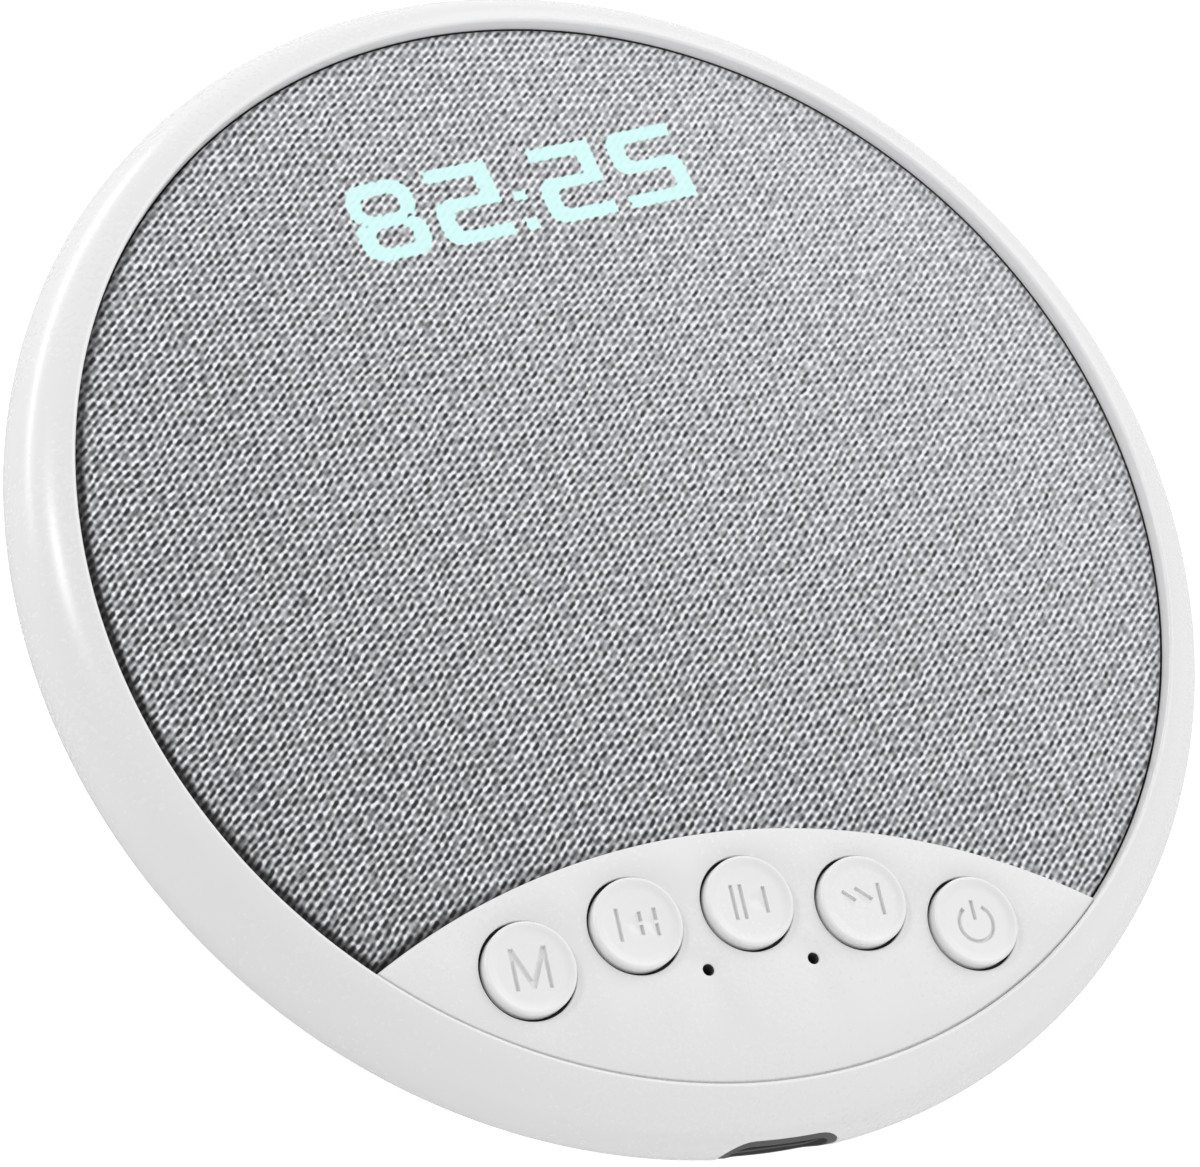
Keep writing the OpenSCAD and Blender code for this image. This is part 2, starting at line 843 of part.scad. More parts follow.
// Pouch cell with rounded long edges
module battery() {
    color("lightgray")
    translate([-battery_l / 2, -battery_y, z_cell + battery_t / 2])
        rotate([90, 0, 90])
            linear_extrude(battery_l) {
                square([battery_w - 2 * cell_edge, battery_t], center = true);
                square([battery_w, battery_t - 2 * cell_edge], center = true);
                for (side = [-1, 1], level = [-1, 1])
                    translate([side * (battery_w / 2 - cell_edge), level * (battery_t / 2 - cell_edge)])
                        circle(cell_edge);
            }
}

module battery_pad() {
    margin = 4;
    z_low = z_pad + bond_gap;
    color("black")
    intersection() {
        translate([-(battery_l - margin) / 2, -battery_y - (battery_w - margin) / 2, z_low])
            cube([battery_l - margin, battery_w - margin, pad_t]);
        cylinder(r = lower_r(wall, z_pad + bond_gap / 2), h = z_lip);
    }
}

// Two wires that leave the cell's end and turn up to the board's lower side
module battery_leads() {
    z_lead = z_cell + battery_t / 2;
    out = 0.6;
    color("firebrick")
        for (y = lead_rows)
            translate([battery_l / 2 + bond_gap, y - battery_y, z_lead]) {
                rotate([0, 90, 0])
                    cylinder(d = lead_d, h = out);
                translate([out, 0, bend_r])
                    rotate([90, 0, 0])
                        rotate([0, 0, -90])
                            rotate_extrude(angle = 90)
                                translate([bend_r, 0])
                                    circle(d = lead_d);
                translate([out + bend_r, 0, bend_r])
                    cylinder(d = lead_d, h = z_board - board_t - bond_gap - z_lead - bend_r);
            }
}

// Moves to the loudspeaker's axis
module at_speaker() {
    translate([0, speaker_y, 0])
        children();
}

module speaker_basket() {
    windows = 6;
    window_d = 4;
    terminal_root = 2;
    low_r = basket_low_r;
    color("dimgray")
    at_speaker()
    difference() {
        union() {
            rotate_extrude()
                polygon([
                    [low_r, z_ring],
                    [low_r + ring_w, z_ring],
                    [flange_in + arm_t, z_flange_low],
                    [speaker_r, z_flange_low],
                    [speaker_r, z_flange_top],
                    [flange_in, z_flange_top],
                    [low_r + ring_w, z_ring + ring_t],
                    [low_r, z_ring + ring_t]
                ]);
            translate([-terminal_x - terminal_w / 2, -speaker_r - terminal_out, z_flange_low])
                cube([2 * terminal_x + terminal_w, terminal_out + terminal_root, basket_t / 2]);
        }
        for (i = [0:windows - 1])
            rotate([0, 0, i * 360 / windows])
                translate([(low_r + ring_w + flange_in) / 2, 0, 0])
                    cylinder(d = window_d, h = z_lip);
        translate([-terminal_x + terminal_w / 2, -speaker_r - terminal_out - cut, z_flange_low - cut])
            cube([2 * terminal_x - terminal_w, terminal_out, basket_t]);
    }
}

module speaker_yoke() {
    color("silver")
    at_speaker()
        rotate_extrude()
            difference() {
                translate([0, z_yoke])
                    square([yoke_r, z_pole - z_yoke]);
                translate([-cut, z_yoke + yoke_t])
                    square([gap_r + cut, z_lip]);
            }
}

module speaker_magnet() {
    inset = 0.3;
    color("silver")
    at_speaker()
        translate([0, 0, z_yoke + yoke_t])
            cylinder(r = pole_r - inset, h = magnet_t);
}

module speaker_pole_plate() {
    color("silver")
    at_speaker()
        translate([0, 0, z_magnet])
            cylinder(r = pole_r, h = pole_t);
}

module voice_coil() {
    z_low = z_magnet - coil_reach;
    color("peru")
    at_speaker()
        translate([0, 0, z_low])
            rotate_extrude()
                translate([coil_in, 0])
                    square([coil_t, z_coil - z_low]);
}

module speaker_cone() {
    inner_r = coil_out + bond_gap;
    color("black")
    at_speaker()
        rotate_extrude()
            polygon([
                [inner_r, z_cone - cone_rise - cone_t],
                [cone_r - lip_w, z_cone - cone_t],
                [cone_r, z_cone - cone_t],
                [cone_r, z_cone],
                [cone_r - lip_w, z_cone],
                [inner_r, z_cone - cone_rise]
            ]);
}

module dust_cap() {
    cap_h = 1.1;
    cap_t = 0.3;
    sphere_r = (coil_out * coil_out + cap_h * cap_h) / (2 * cap_h);
    z_low = z_coil + bond_gap;
    color("black")
    at_speaker()
        rotate_extrude()
            intersection() {
                translate([0, z_low - sphere_r + cap_h])
                    difference() {
                        circle(sphere_r, $fn = 720);
                        circle(sphere_r - cap_t, $fn = 720);
                    }
                translate([0, z_low])
                    square([coil_out, 2 * cap_h]);
            }
}

// Half roll of rubber between the cone's edge and the flange
module speaker_surround() {
    color("black")
    at_speaker()
        rotate_extrude() {
            translate([roll_x, z_roll])
                difference() {
                    circle(roll_w / 2);
                    circle(roll_w / 2 - roll_t);
                    translate([-roll_w, -2 * roll_w])
                        square(2 * roll_w);
                }
            translate([roll_x - roll_w / 2 - lip_w / 2, z_roll])
                square([lip_w / 2 + roll_t, roll_t]);
            translate([roll_x + roll_w / 2 - roll_t, z_roll - roll_t])
                square([lip_w / 3 + roll_t, 2 * roll_t]);
        }
}

module speaker_gasket() {
    gasket_w = 1.3;
    color("black")
    at_speaker()
        translate([0, 0, z_flange_top])
            rotate_extrude()
                translate([speaker_r - gasket_w, 0])
                    square([gasket_w, gasket_t]);
}

// Washer-head screws whose heads hold the flange's edge
module speaker_screws() {
    color("silver")
        for (a = speaker_holes)
            translate([speaker_hole_at(a)[0], speaker_hole_at(a)[1], z_flange_low])
                screw(small_screw_d, small_screw_l - board_t, speaker_head_d, small_head_h);
}

// Two wires from the terminals to the main board
module speaker_leads() {
    lead_lap = 3;
    lead_end = board_y - lead_lap;
    lead_start = speaker_y - speaker_r - terminal_out - bond_gap;
    color("firebrick")
        for (side = [-1, 1])
            translate([side * terminal_x, 0, z_board + lead_d / 2])
                along_y(lead_end, lead_start - lead_end)
                    circle(d = lead_d);
}

// Bars of one digit, with its middle at the origin
module digit_bars(gap) {
    bar_l = digit_w - 2 * digit_stroke - 2 * gap;
    bar_h = (digit_h - 3 * digit_stroke) / 2 - 2 * gap;
    x_side = (digit_w - digit_stroke) / 2;
    y_step = (digit_h - digit_stroke) / 2;
    for (level = [-1:1])
        translate([0, level * y_step])
            square([bar_l, digit_stroke - 2 * gap], center = true);
    for (side = [-1, 1], level = [-0.5, 0.5])
        translate([side * x_side, level * y_step])
            square([digit_stroke - 2 * gap, bar_h + digit_stroke], center = true);
}

// Light openings of the whole row, drawn in by a gap
module display_openings(gap) {
    for (x = digit_x)
        translate([x, 0])
            digit_bars(gap + segment_gap / 2);
    for (level = [-1, 1])
        translate([0, level * digit_h / 6])
            square(digit_stroke - 2 * gap, center = true);
}

module display_housing() {
    color("black")
    at_display()
        difference() {
            translate([-display_l / 2, -display_h / 2, z_board])
                cube([display_l, display_h, z_display - z_board]);
            translate([0, 0, z_display - segment_depth])
                linear_extrude(segment_depth + cut)
                    display_openings(0);
        }
}

module display_segments() {
    color("paleturquoise")
    at_display()
        translate([0, 0, z_display - segment_depth])
            linear_extrude(segment_depth)
                display_openings(bond_gap);
}

module display_board() {
    color("darkgreen")
    at_display()
        translate([0, 0, z_board - board_t])
            linear_extrude(board_t)
                difference() {
                    square([display_board_l, display_board_w], center = true);
                    for (side = [-1, 1])
                        translate([side * display_hole_x, 0])
                            circle(d = small_screw_d + 2 * seat_gap);
                }
}

module display_screws() {
    color("silver")
    at_display()
        for (side = [-1, 1])
            translate([side * display_hole_x, 0, z_board - board_t])
                screw(small_screw_d, small_screw_l, small_head_d, small_head_h);
}

// Flat cable with mitred bends, which lies on both boards and passes beside the loudspeaker
module display_ribbon() {
    last = len(ribbon_route) - 1;
    color("whitesmoke")
    translate([0, 0, z_board])
        linear_extrude(ribbon_t)
            polygon(concat(
                [for (i = [0:last]) ribbon_route[i] + ribbon_w / 2 * ribbon_side(i)],
                [for (i = [last:-1:0]) ribbon_route[i] - ribbon_w / 2 * ribbon_side(i)]
            ));
}

front_housing();
rear_cover();
foot_ring();
case_screws();
grille_plate();
grille_cloth();
control_panel();
mode_button();
previous_button();
play_button();
next_button();
power_button();
mode_plunger();
previous_plunger();
play_plunger();
next_plunger();
power_plunger();
switch_bodies();
main_board();
board_screws();
board_chips();
usb_shell();
usb_tongue();
microphone();
microphone_boot();
status_led();
battery();
battery_pad();
battery_leads();
speaker_basket();
speaker_yoke();
speaker_magnet();
speaker_pole_plate();
voice_coil();
speaker_cone();
dust_cap();
speaker_surround();
speaker_gasket();
speaker_screws();
speaker_leads();
display_housing();
display_segments();
display_board();
display_screws();
display_ribbon();
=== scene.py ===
"""Looks of the pillow speaker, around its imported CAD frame. Lengths are millimetres until a mesh is made."""

import math

import bmesh
import bpy
import numpy as np
from mathutils import Matrix, Vector
from mathutils.geometry import delaunay_2d_cdt

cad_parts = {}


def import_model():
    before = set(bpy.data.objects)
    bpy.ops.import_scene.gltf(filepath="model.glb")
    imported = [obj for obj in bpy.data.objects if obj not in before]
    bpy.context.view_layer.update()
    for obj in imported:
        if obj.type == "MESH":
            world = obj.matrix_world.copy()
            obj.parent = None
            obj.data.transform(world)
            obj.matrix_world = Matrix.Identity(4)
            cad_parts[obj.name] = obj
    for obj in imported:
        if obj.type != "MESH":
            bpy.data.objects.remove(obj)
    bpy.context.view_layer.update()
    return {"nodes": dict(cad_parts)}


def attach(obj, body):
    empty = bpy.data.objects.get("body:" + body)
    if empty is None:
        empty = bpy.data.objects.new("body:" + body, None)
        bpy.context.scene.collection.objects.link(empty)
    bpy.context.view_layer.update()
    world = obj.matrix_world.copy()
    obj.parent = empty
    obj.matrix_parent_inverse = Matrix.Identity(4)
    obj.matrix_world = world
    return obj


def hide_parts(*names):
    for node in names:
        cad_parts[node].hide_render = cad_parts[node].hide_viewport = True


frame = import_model()
nodes = frame["nodes"]

MM = 0.001
SEGMENTS = 288

# Values of the part's source that the looks repeat; CLOTH_GAP, KEY_GAP and PIN_R are a little smaller here
BODY_R, LIP_R, RIM_R, EDGE_R, WALL = 55.0, 50.25, 5.3, 4.0, 1.8
Z_LIP, Z_FLOOR = 15.0, 0.7
EDGE_TURN = math.radians(50)
RIM_X, EDGE_X = BODY_R - RIM_R, BODY_R - EDGE_R
Z_WIDE = Z_LIP - math.sqrt(RIM_R ** 2 - (LIP_R - RIM_X) ** 2)
UNDER_R = (Z_WIDE - Z_FLOOR - EDGE_R * math.sin(EDGE_TURN)) / (1 - math.sin(EDGE_TURN))
UNDER_X = EDGE_X - (UNDER_R - EDGE_R) * math.cos(EDGE_TURN)
UNDER_Z = Z_FLOOR + UNDER_R
Z_SEAM, SEAM_GAP = Z_WIDE - 3.4, 0.3
Z_FACE, Z_DECK, Z_UNDER, Z_PANEL = 13.6, 11.6, 10.1, 14.75
FACE_GAP, CLOTH_GAP = 0.3, 0.14
ARC_Y, PANEL_ARC_R = -92.85, 64.0
KEY_ARC_R, KEY_STEP = 57.6, 10.4 / 57.6
PIN_ARC_R, PIN_HALF, PIN_R = 52.6, 4.8, 0.5
KEY_R, KEY_GAP, KEY_PROUD = 3.9, 0.27, 0.8
Z_FLANGE, FLANGE_R, FLANGE_T, STEM_R, Z_STEM = 13.5, 4.8, 0.6, 1.6, 9.65
POCKET_R, STEM_HOLE_R, TAB_W, TAB_Y = 5.0, 2.0, 1.6, 5.5
Z_PORT = Z_WIDE - 0.1
USB_W, USB_H, USB_WALL, USB_Y, USB_LEN = 8.94, 3.26, 0.3, -54.2, 7.3
FOOT_R, FOOT_W, FOOT_T = 33.5, 6.4, 1.3
ROW_TURN, ROW_SHIFT, ROW_Y = math.radians(12), 2.1, 33.15
DECK_R, SPEAKER_Y = 49.0, 1.0


# Shapes

def arc(cx, cy, r, start, end, steps):
    """Points of an arc in a plane, angles in degrees."""
    a = np.radians(np.linspace(start, end, steps + 1))
    return np.stack([cx + r * np.cos(a), cy + r * np.sin(a)], 1)


def circle(cx, cy, r, steps):
    return arc(cx, cy, r, 0, 360, steps)[:-1]


def rounded(corners, step=10):
    """Closed outline through corners (x, y, radius)."""
    pts = np.array([c[:2] for c in corners], float)
    out = []
    for i, (_, _, r) in enumerate(corners):
        here, before, after = pts[i], pts[i - 1], pts[(i + 1) % len(pts)]
        a, b = before - here, after - here
        a, b = a / np.linalg.norm(a), b / np.linalg.norm(b)
        half = math.acos(np.clip(a @ b, -1, 1)) / 2
        mid = (a + b) / np.linalg.norm(a + b)
        centre = here + mid * r / math.sin(half)
        p, q = here + a * r / math.tan(half) - centre, here + b * r / math.tan(half) - centre
        start, end = math.atan2(p[1], p[0]), math.atan2(q[1], q[0])
        turn = (end - start + math.pi) % (2 * math.pi) - math.pi
        steps = max(2, round(abs(math.degrees(turn)) / step))
        angles = start + turn * np.arange(steps + 1) / steps
        out += list(centre + r * np.stack([np.cos(angles), np.sin(angles)], 1))
    return np.array(out)


def densify(loop, step):
    """The same closed outline with points no further apart than step."""
    out = []
    for p, q in zip(loop, np.roll(loop, -1, 0)):
        n = max(1, math.ceil(np.linalg.norm(q - p) / step))
        out += [p + (q - p) * k / n for k in range(n)]
    return np.array(out)


def inside(points, loop):
    """Which points lie in a closed outline."""
    x, y = points[:, 0], points[:, 1]
    hit = np.zeros(len(points), bool)
    for (x0, y0), (x1, y1) in zip(loop, np.roll(loop, -1, 0)):
        if y0 != y1:
            hit ^= ((y0 > y) != (y1 > y)) & (x < (x1 - x0) * (y - y0) / (y1 - y0) + x0)
    return hit


def fill(loops, extra=()):
    """Triangles over the hull of closed outlines, which keep their edges, and extra points, less slivers."""
    merge, least_area = 1e-7, 1e-6
    points, edges = [], []
    for loop in loops:
        start = len(points)
        points += [Vector(p) for p in loop]
        edges += [(start + k, start + (k + 1) % len(loop)) for k in range(len(loop))]
    points += [Vector(p) for p in extra]
    got = delaunay_2d_cdt(points, edges, [], 0, merge)
    pts, tris = np.array([tuple(p) for p in got[0]]), np.array([tuple(t) for t in got[2]])
    a, b = pts[tris[:, 1]] - pts[tris[:, 0]], pts[tris[:, 2]] - pts[tris[:, 0]]
    area = np.abs(a[:, 0] * b[:, 1] - a[:, 1] * b[:, 0]) / 2
    return pts, tris[area > least_area]


class Shape:
    """Vertices and faces with a material number each."""

    def __init__(self):
        self.verts, self.faces, self.mats = [], [], []

    def add(self, verts, faces, mat=0):
        start = len(self.verts)
        self.verts += [tuple(float(c) for c in v) for v in verts]
        self.faces += [tuple(int(i) + start for i in f) for f in faces]
        self.mats += [mat] * len(faces)

    def rings(self, rings, mat=0, loop=False, cap=(False, False), skip=None):
        """Skin over closed rings of equal length; skip(i, j) leaves a cell out."""
        n = len(rings[0])
        last = len(rings) if loop else len(rings) - 1
        faces = []
        for i in range(last):
            k = (i + 1) % len(rings)
            for j in range(n):
                if skip is None or not skip(i, j):
                    faces.append((i * n + j, i * n + (j + 1) % n, k * n + (j + 1) % n, k * n + j))
        if cap[0]:
            faces.append(tuple(range(n))[::-1])
        if cap[1]:
            faces.append(tuple((len(rings) - 1) * n + j for j in range(n)))
        self.add(np.concatenate(rings), faces, mat)

    def lathe(self, profile, mat=0, loop=False, centre=(0, 0), steps=SEGMENTS, skip=None):
        """Solid of revolution of (radius, height) points."""
        a = 2 * math.pi * np.arange(steps) / steps
        around = np.stack([np.cos(a), np.sin(a)], 1)
        rings = [level(np.array(centre) + r * around, z) for r, z in profile]
        self.rings(rings, mat, loop, skip=skip)

    def box(self, low, high, mat=0):
        """Box between two corners."""
        xs, ys, zs = zip(low, high)
        corners = [(x, y, z) for z in zs for y in ys for x in xs]
        sides = [(0, 2, 3, 1), (4, 5, 7, 6), (0, 1, 5, 4), (2, 6, 7, 3), (0, 4, 6, 2), (1, 3, 7, 5)]
        self.add(corners, sides, mat)

    def flat(self, loops, z, keep):
        """Flat fill at height z; keep picks triangles by their middles."""
        pts, tris = fill(loops)
        self.add(level(pts, z), tris[keep(pts[tris].mean(1))])

    def piece(self, name, materials, body, node, sharp=32, weld=1e-4):
        """Makes the Blender object, welds its seams and hangs it on its body."""
        data = bpy.data.meshes.new(name)
        data.from_pydata([[c * MM for c in v] for v in self.verts], [], self.faces)
        for m in materials:
            data.materials.append(m)
        data.polygons.foreach_set("material_index", self.mats)
        obj = bpy.data.objects.new(name, data)
        bpy.context.scene.collection.objects.link(obj)
        bm = bmesh.new()
        bm.from_mesh(data)
        bmesh.ops.remove_doubles(bm, verts=bm.verts, dist=weld * MM)
        loose = [v for v in bm.verts if not v.link_faces]
        bmesh.ops.delete(bm, geom=loose, context="VERTS")
        bmesh.ops.recalc_face_normals(bm, faces=bm.faces)
        bm.to_mesh(data)
        bm.free()
        data.shade_smooth()
        data.set_sharp_from_angle(angle=math.radians(sharp))
        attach(obj, body)
        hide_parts(node)
        return obj


# Materials

class Value:
    """A shader socket that takes part in sums."""

    def __init__(self, graph, socket):
        self.graph, self.socket = graph, socket

    def _op(self, op, *others):
        return self.graph.math(op, self, *others)

    def __add__(self, other):
        return self._op("ADD", other)

    def __sub__(self, other):
        return self._op("SUBTRACT", other)

    def __mul__(self, other):
        return self._op("MULTIPLY", other)

    def cos(self):
        return self._op("COSINE")


class Graph:
    """A material under construction."""

    def __init__(self, name):
        self.mat = bpy.data.materials.new(name)
        self.mat.use_nodes = True
        self.tree = self.mat.node_tree
        self.bsdf = self.tree.nodes["Principled BSDF"]

    def node(self, kind, **values):
        n = self.tree.nodes.new(kind)
        for k, v in values.items():
            setattr(n, k, v)
        return n

    def link(self, value, socket):
        if isinstance(value, Value):
            self.tree.links.new(value.socket, socket)
        else:
            socket.default_value = value

    def math(self, op, *args):
        n = self.node("ShaderNodeMath", operation=op)
        for i, a in enumerate(args):
            self.link(a, n.inputs[i])
        return Value(self, n.outputs[0])

    def place(self):
        """Object coordinates in millimetres."""
        n = self.node("ShaderNodeTexCoord")
        split = self.node("ShaderNodeSeparateXYZ")
        self.tree.links.new(n.outputs["Object"], split.inputs[0])
        return [Value(self, s) * 1000.0 for s in split.outputs]

    def vector(self, x, y, z=0.0):
        n = self.node("ShaderNodeCombineXYZ")
        for v, s in zip((x, y, z), n.inputs):
            self.link(v, s)
        return Value(self, n.outputs[0])

    def noise(self, vector, scale, detail):
        """Noise of about 0 to 1 over a vector in millimetres."""
        n = self.node("ShaderNodeTexNoise")
        self.link(vector, n.inputs["Vector"])
        n.inputs["Scale"].default_value = scale
        n.inputs["Detail"].default_value = detail
        return Value(self, n.outputs["Fac"])

    def attribute(self, name):
        n = self.node("ShaderNodeAttribute", attribute_name=name)
        return Value(self, n.outputs["Fac"])

    def smooth(self, value, low, high):
        """0 below low, 1 above high and a soft step between them."""
        n = self.node("ShaderNodeMapRange", interpolation_type="SMOOTHSTEP")
        self.link(value, n.inputs["Value"])
        n.inputs["From Min"].default_value = low
        n.inputs["From Max"].default_value = high
        return Value(self, n.outputs["Result"])

    def mix(self, amount, first, second):
        """Mix of two colours. Its sockets go by number, because those for other types have the same names."""
        colour_a, colour_b, result = 6, 7, 2
        n = self.node("ShaderNodeMix", data_type="RGBA")
        self.link(amount, n.inputs["Factor"])
        self.link(first, n.inputs[colour_a])
        self.link(second, n.inputs[colour_b])
        return Value(self, n.outputs[result])

    def ramp(self, value, stops):
        """Colours along a value; a stop is (position, (r, g, b))."""
        n = self.node("ShaderNodeValToRGB")
        self.link(value, n.inputs[0])
        e = n.color_ramp.elements
        while len(e) < len(stops):
            e.new(0.5)
        for el, (pos, col) in zip(e, stops):
            el.position, el.color = pos, (*col, 1)
        return Value(self, n.outputs[0])

    def scale(self, colour, amount):
        n = self.node("ShaderNodeVectorMath", operation="SCALE")
        self.link(colour, n.inputs[0])
        self.link(amount, n.inputs["Scale"])
        return Value(self, n.outputs[0])

    def bump(self, height, distance, strength=1.0):
        """Normal from a height of 0 to 1 that stands for a distance in millimetres."""
        n = self.node("ShaderNodeBump")
        n.inputs["Strength"].default_value = strength
        n.inputs["Distance"].default_value = distance * MM
        self.link(height, n.inputs["Height"])
        return Value(self, n.outputs[0])

    def set(self, **values):
        for k, v in values.items():
            self.link(v, self.bsdf.inputs[k.replace("_", " ")])
        return self.mat


def tint(colour, k):
    return tuple(c * k for c in colour)


# Noise scales, per millimetre: the slow changes of tone in plastic and in metal, and the lines in drawn metal
PLASTIC_SLOW, METAL_SLOW, METAL_LINES = 0.06, 0.3, 4.0


def moulded(name, colour, rough, grain, depth, spread):
    """Moulded plastic or rubber: grain of a size and depth in mm, slow tone changes and uneven gloss."""
    g = Graph(name)
    x, y, z = g.place()
    at = g.vector(x, y, z)
    slow = g.noise(at, PLASTIC_SLOW, 3.0)
    fine = g.noise(at, 1 / grain, 2.0)
    tone = slow * 0.7 + fine * 0.3
    col = g.ramp(tone, [(0.3, tint(colour, 1 - spread)), (0.7, tint(colour, 1 + spread))])
    gloss = slow * 0.08 + fine * 0.06 + (rough - 0.07)
    return g.set(Base_Color=col, Roughness=gloss, Normal=g.bump(fine, depth))


def metal(name, colour, rough, stretch=(1.0, 1.0, 1.0)):
    """Plain or drawn metal with fine lines along one direction."""
    g = Graph(name)
    x, y, z = g.place()
    lines = g.noise(g.vector(x * stretch[0], y * stretch[1], z * stretch[2]), METAL_LINES, 3.0)
    slow = g.noise(g.vector(x, y, z), METAL_SLOW, 2.0)
    col = g.ramp(lines * 0.6 + slow * 0.4, [(0.3, tint(colour, 0.86)), (0.7, colour)])
    gloss = lines * 0.14 + slow * 0.1 + (rough - 0.12)
    return g.set(Metallic=1.0, Base_Color=col, Roughness=gloss, Normal=g.bump(lines, 0.003))


# Threads in a millimetre, along x and y, for the two sets of yarns; the cloth lies a little askew
COLUMNS, ROWS = (1.17, 0.06), (-0.08, 1.235)
COLUMN_PHASE, CROSS_PHASE = math.radians(140), math.radians(169)
# Strength of the diagonal dashes, of the rows, of the columns and of the other diagonal
TWILL, ROW, COLUMN, CROSS = 0.57, 0.235, 0.21, 0.14
# How far, in millimetres, the threads stray slowly and quickly, and the scale of the noise that moves them
SWAY, SWAY_SCALE, JOG, JOG_SCALE = 0.55, 0.13, 0.3, 0.5
# Share of the cloth's tone that each kind of unevenness has; the last is the painted light towards the upper
# right
DASHES, SLUBS, FIBRES, PATCHES, MOTTLING, PAINTED_LIGHT = 0.305, 0.08, 0.2, 0.04, 0.3, 0.075
# How the threads close up towards the left and the bottom, and the length in millimetres over which the
# painted light rises
CROWD_X, CROWD_Y, PAINTED_LIGHT_SPAN = 0.0006, 0.0003, 70
CLOTH_TINT = (0.985, 0.995, 1.03)


def weave(g):
    """Shader sockets for the cloth: its light and dark dashes, about 0 to 1, and its height."""
    x, y, _ = g.place()
    flat = g.vector(x, y)
    swapped = g.vector(y, x, 7.0)

    def uneven(at, scale, detail):
        return g.noise(at, scale, detail) - 0.5

    def drift(at):
        """How far the threads stray from straight lines."""
        return uneven(at, SWAY_SCALE, 1.0) * SWAY + uneven(at, JOG_SCALE, 0.0) * JOG

    # The threads lie a little closer together towards the lower left
    u = x - x * x * CROWD_X + drift(flat)
    v = y - y * y * CROWD_Y + drift(swapped)
    turn, diagonal = 2 * math.pi, 0.7071
    rows = (u * ROWS[0] + v * ROWS[1]) * turn
    columns = (u * COLUMNS[0] + v * COLUMNS[1]) * turn
    base = (rows - columns).cos() * TWILL + rows.cos() * ROW
    base = base + (columns + COLUMN_PHASE).cos() * COLUMN + (rows + columns + CROSS_PHASE).cos() * CROSS
    along, across = (u + v) * diagonal, (v - u) * diagonal

    def streaks(often_along, often_across, detail):
        """Noise that is drawn out along the dashes."""
        return uneven(g.vector(along * often_along, across * often_across), 1.0, detail)

    dash, slub, fibre = streaks(0.9, 1.7, 0.0), streaks(0.28, 0.9, 1.0), streaks(3.0, 7.0, 1.0)
    patch, mottle = uneven(flat, 0.16, 1.0), uneven(flat, 1.25, 0.0)
    # Painted light and sheen: the cloth is made paler and plainer towards the upper right, where the light
    # falls strongest
    painted_light = (x + y) * (1 / PAINTED_LIGHT_SPAN)
    gain = (dash * 2.4 + 1.0) * (painted_light * -0.32 + 1.12)
    value = base * gain * DASHES + slub * SLUBS + fibre * FIBRES
    value = value + patch * PATCHES + mottle * MOTTLING + painted_light * PAINTED_LIGHT + 0.5
    height = base * 0.4 + fibre * 0.4 + 0.7
    return value, height


def cloth_material(name):
    """Heather cloth, and the clock's light that shines through it where the attribute glow is above zero."""
    g = Graph(name)
    value, height = weave(g)
    tones = [(0.1, 0.03), (0.165, 0.05), (0.26, 0.095), (0.407, 0.235),
             (0.509, 0.4), (0.606, 0.575), (0.713, 0.8), (0.777, 0.92)]
    col = g.ramp(value, [(p, tint(CLOTH_TINT, t)) for p, t in tones])
    lit = g.smooth(g.attribute("glow") + (value - 0.5) * 0.24, -0.03, 0.2)
    shade = g.attribute("edge_shade") * -0.93 + 1.0
    glow = g.ramp(value, [(0.2, (0.61, 0.9, 0.88)), (0.5, (0.655, 0.935, 0.915)), (0.8, (0.69, 0.96, 0.95))])
    g.set(Sheen_Weight=0.1, Sheen_Roughness=0.5, Specular_IOR_Level=0.2)
    surface = g.mix(lit, col, (0.02, 0.03, 0.03, 1))
    g.set(Base_Color=g.scale(surface, shade), Emission_Color=glow, Emission_Strength=lit)
    return g.set(Roughness=value * 0.1 + 0.78, Normal=g.bump(height, 0.06, 0.4))


white = moulded("white_plastic", (0.79, 0.79, 0.795), 0.27, 0.5, 0.0007, 0.008)
# Painted highlight: a lighter, glossier copy of the white plastic for the lip, so that its edge shows as a
# bright line
lip_highlight = moulded("lip_painted_highlight", (0.82, 0.82, 0.825), 0.2, 0.4, 0.0015, 0.006)
key_white = moulded("key_plastic", (0.82, 0.82, 0.825), 0.26, 0.4, 0.0015, 0.008)
cloth = cloth_material("heather_cloth")
lit = cloth_material("lit_cloth")
rubber = moulded("foot_rubber", (0.075, 0.075, 0.078), 0.75, 0.2, 0.02, 0.12)
black_rubber = moulded("soft_rubber", (0.02, 0.02, 0.021), 0.7, 0.15, 0.01, 0.15)
# Painted shade: a near-black colour on the walls of the gaps round the keys and the pinholes and on the
# cloth's turned-down edge, where there is only shade
gap_shade = moulded("gap_painted_shade", (0.075, 0.075, 0.077), 0.7, 0.15, 0.01, 0.12)
foam = moulded("pad_foam", (0.03, 0.03, 0.032), 0.9, 0.3, 0.05, 0.25)
dark_plastic = moulded("dark_plastic", (0.035, 0.035, 0.037), 0.5, 0.15, 0.006, 0.15)
# A dark collar in the slot, its darkness partly painted shade of the slot, and painted shade on the wall under
# the cloth's edge
collar_and_gap_shade = moulded("port_collar_and_gap_shade", (0.075, 0.075, 0.077), 0.6, 0.15, 0.004, 0.1)
steel = metal("steel", (0.62, 0.62, 0.64), 0.3)
nickel = metal("nickel", (0.66, 0.65, 0.62), 0.25)
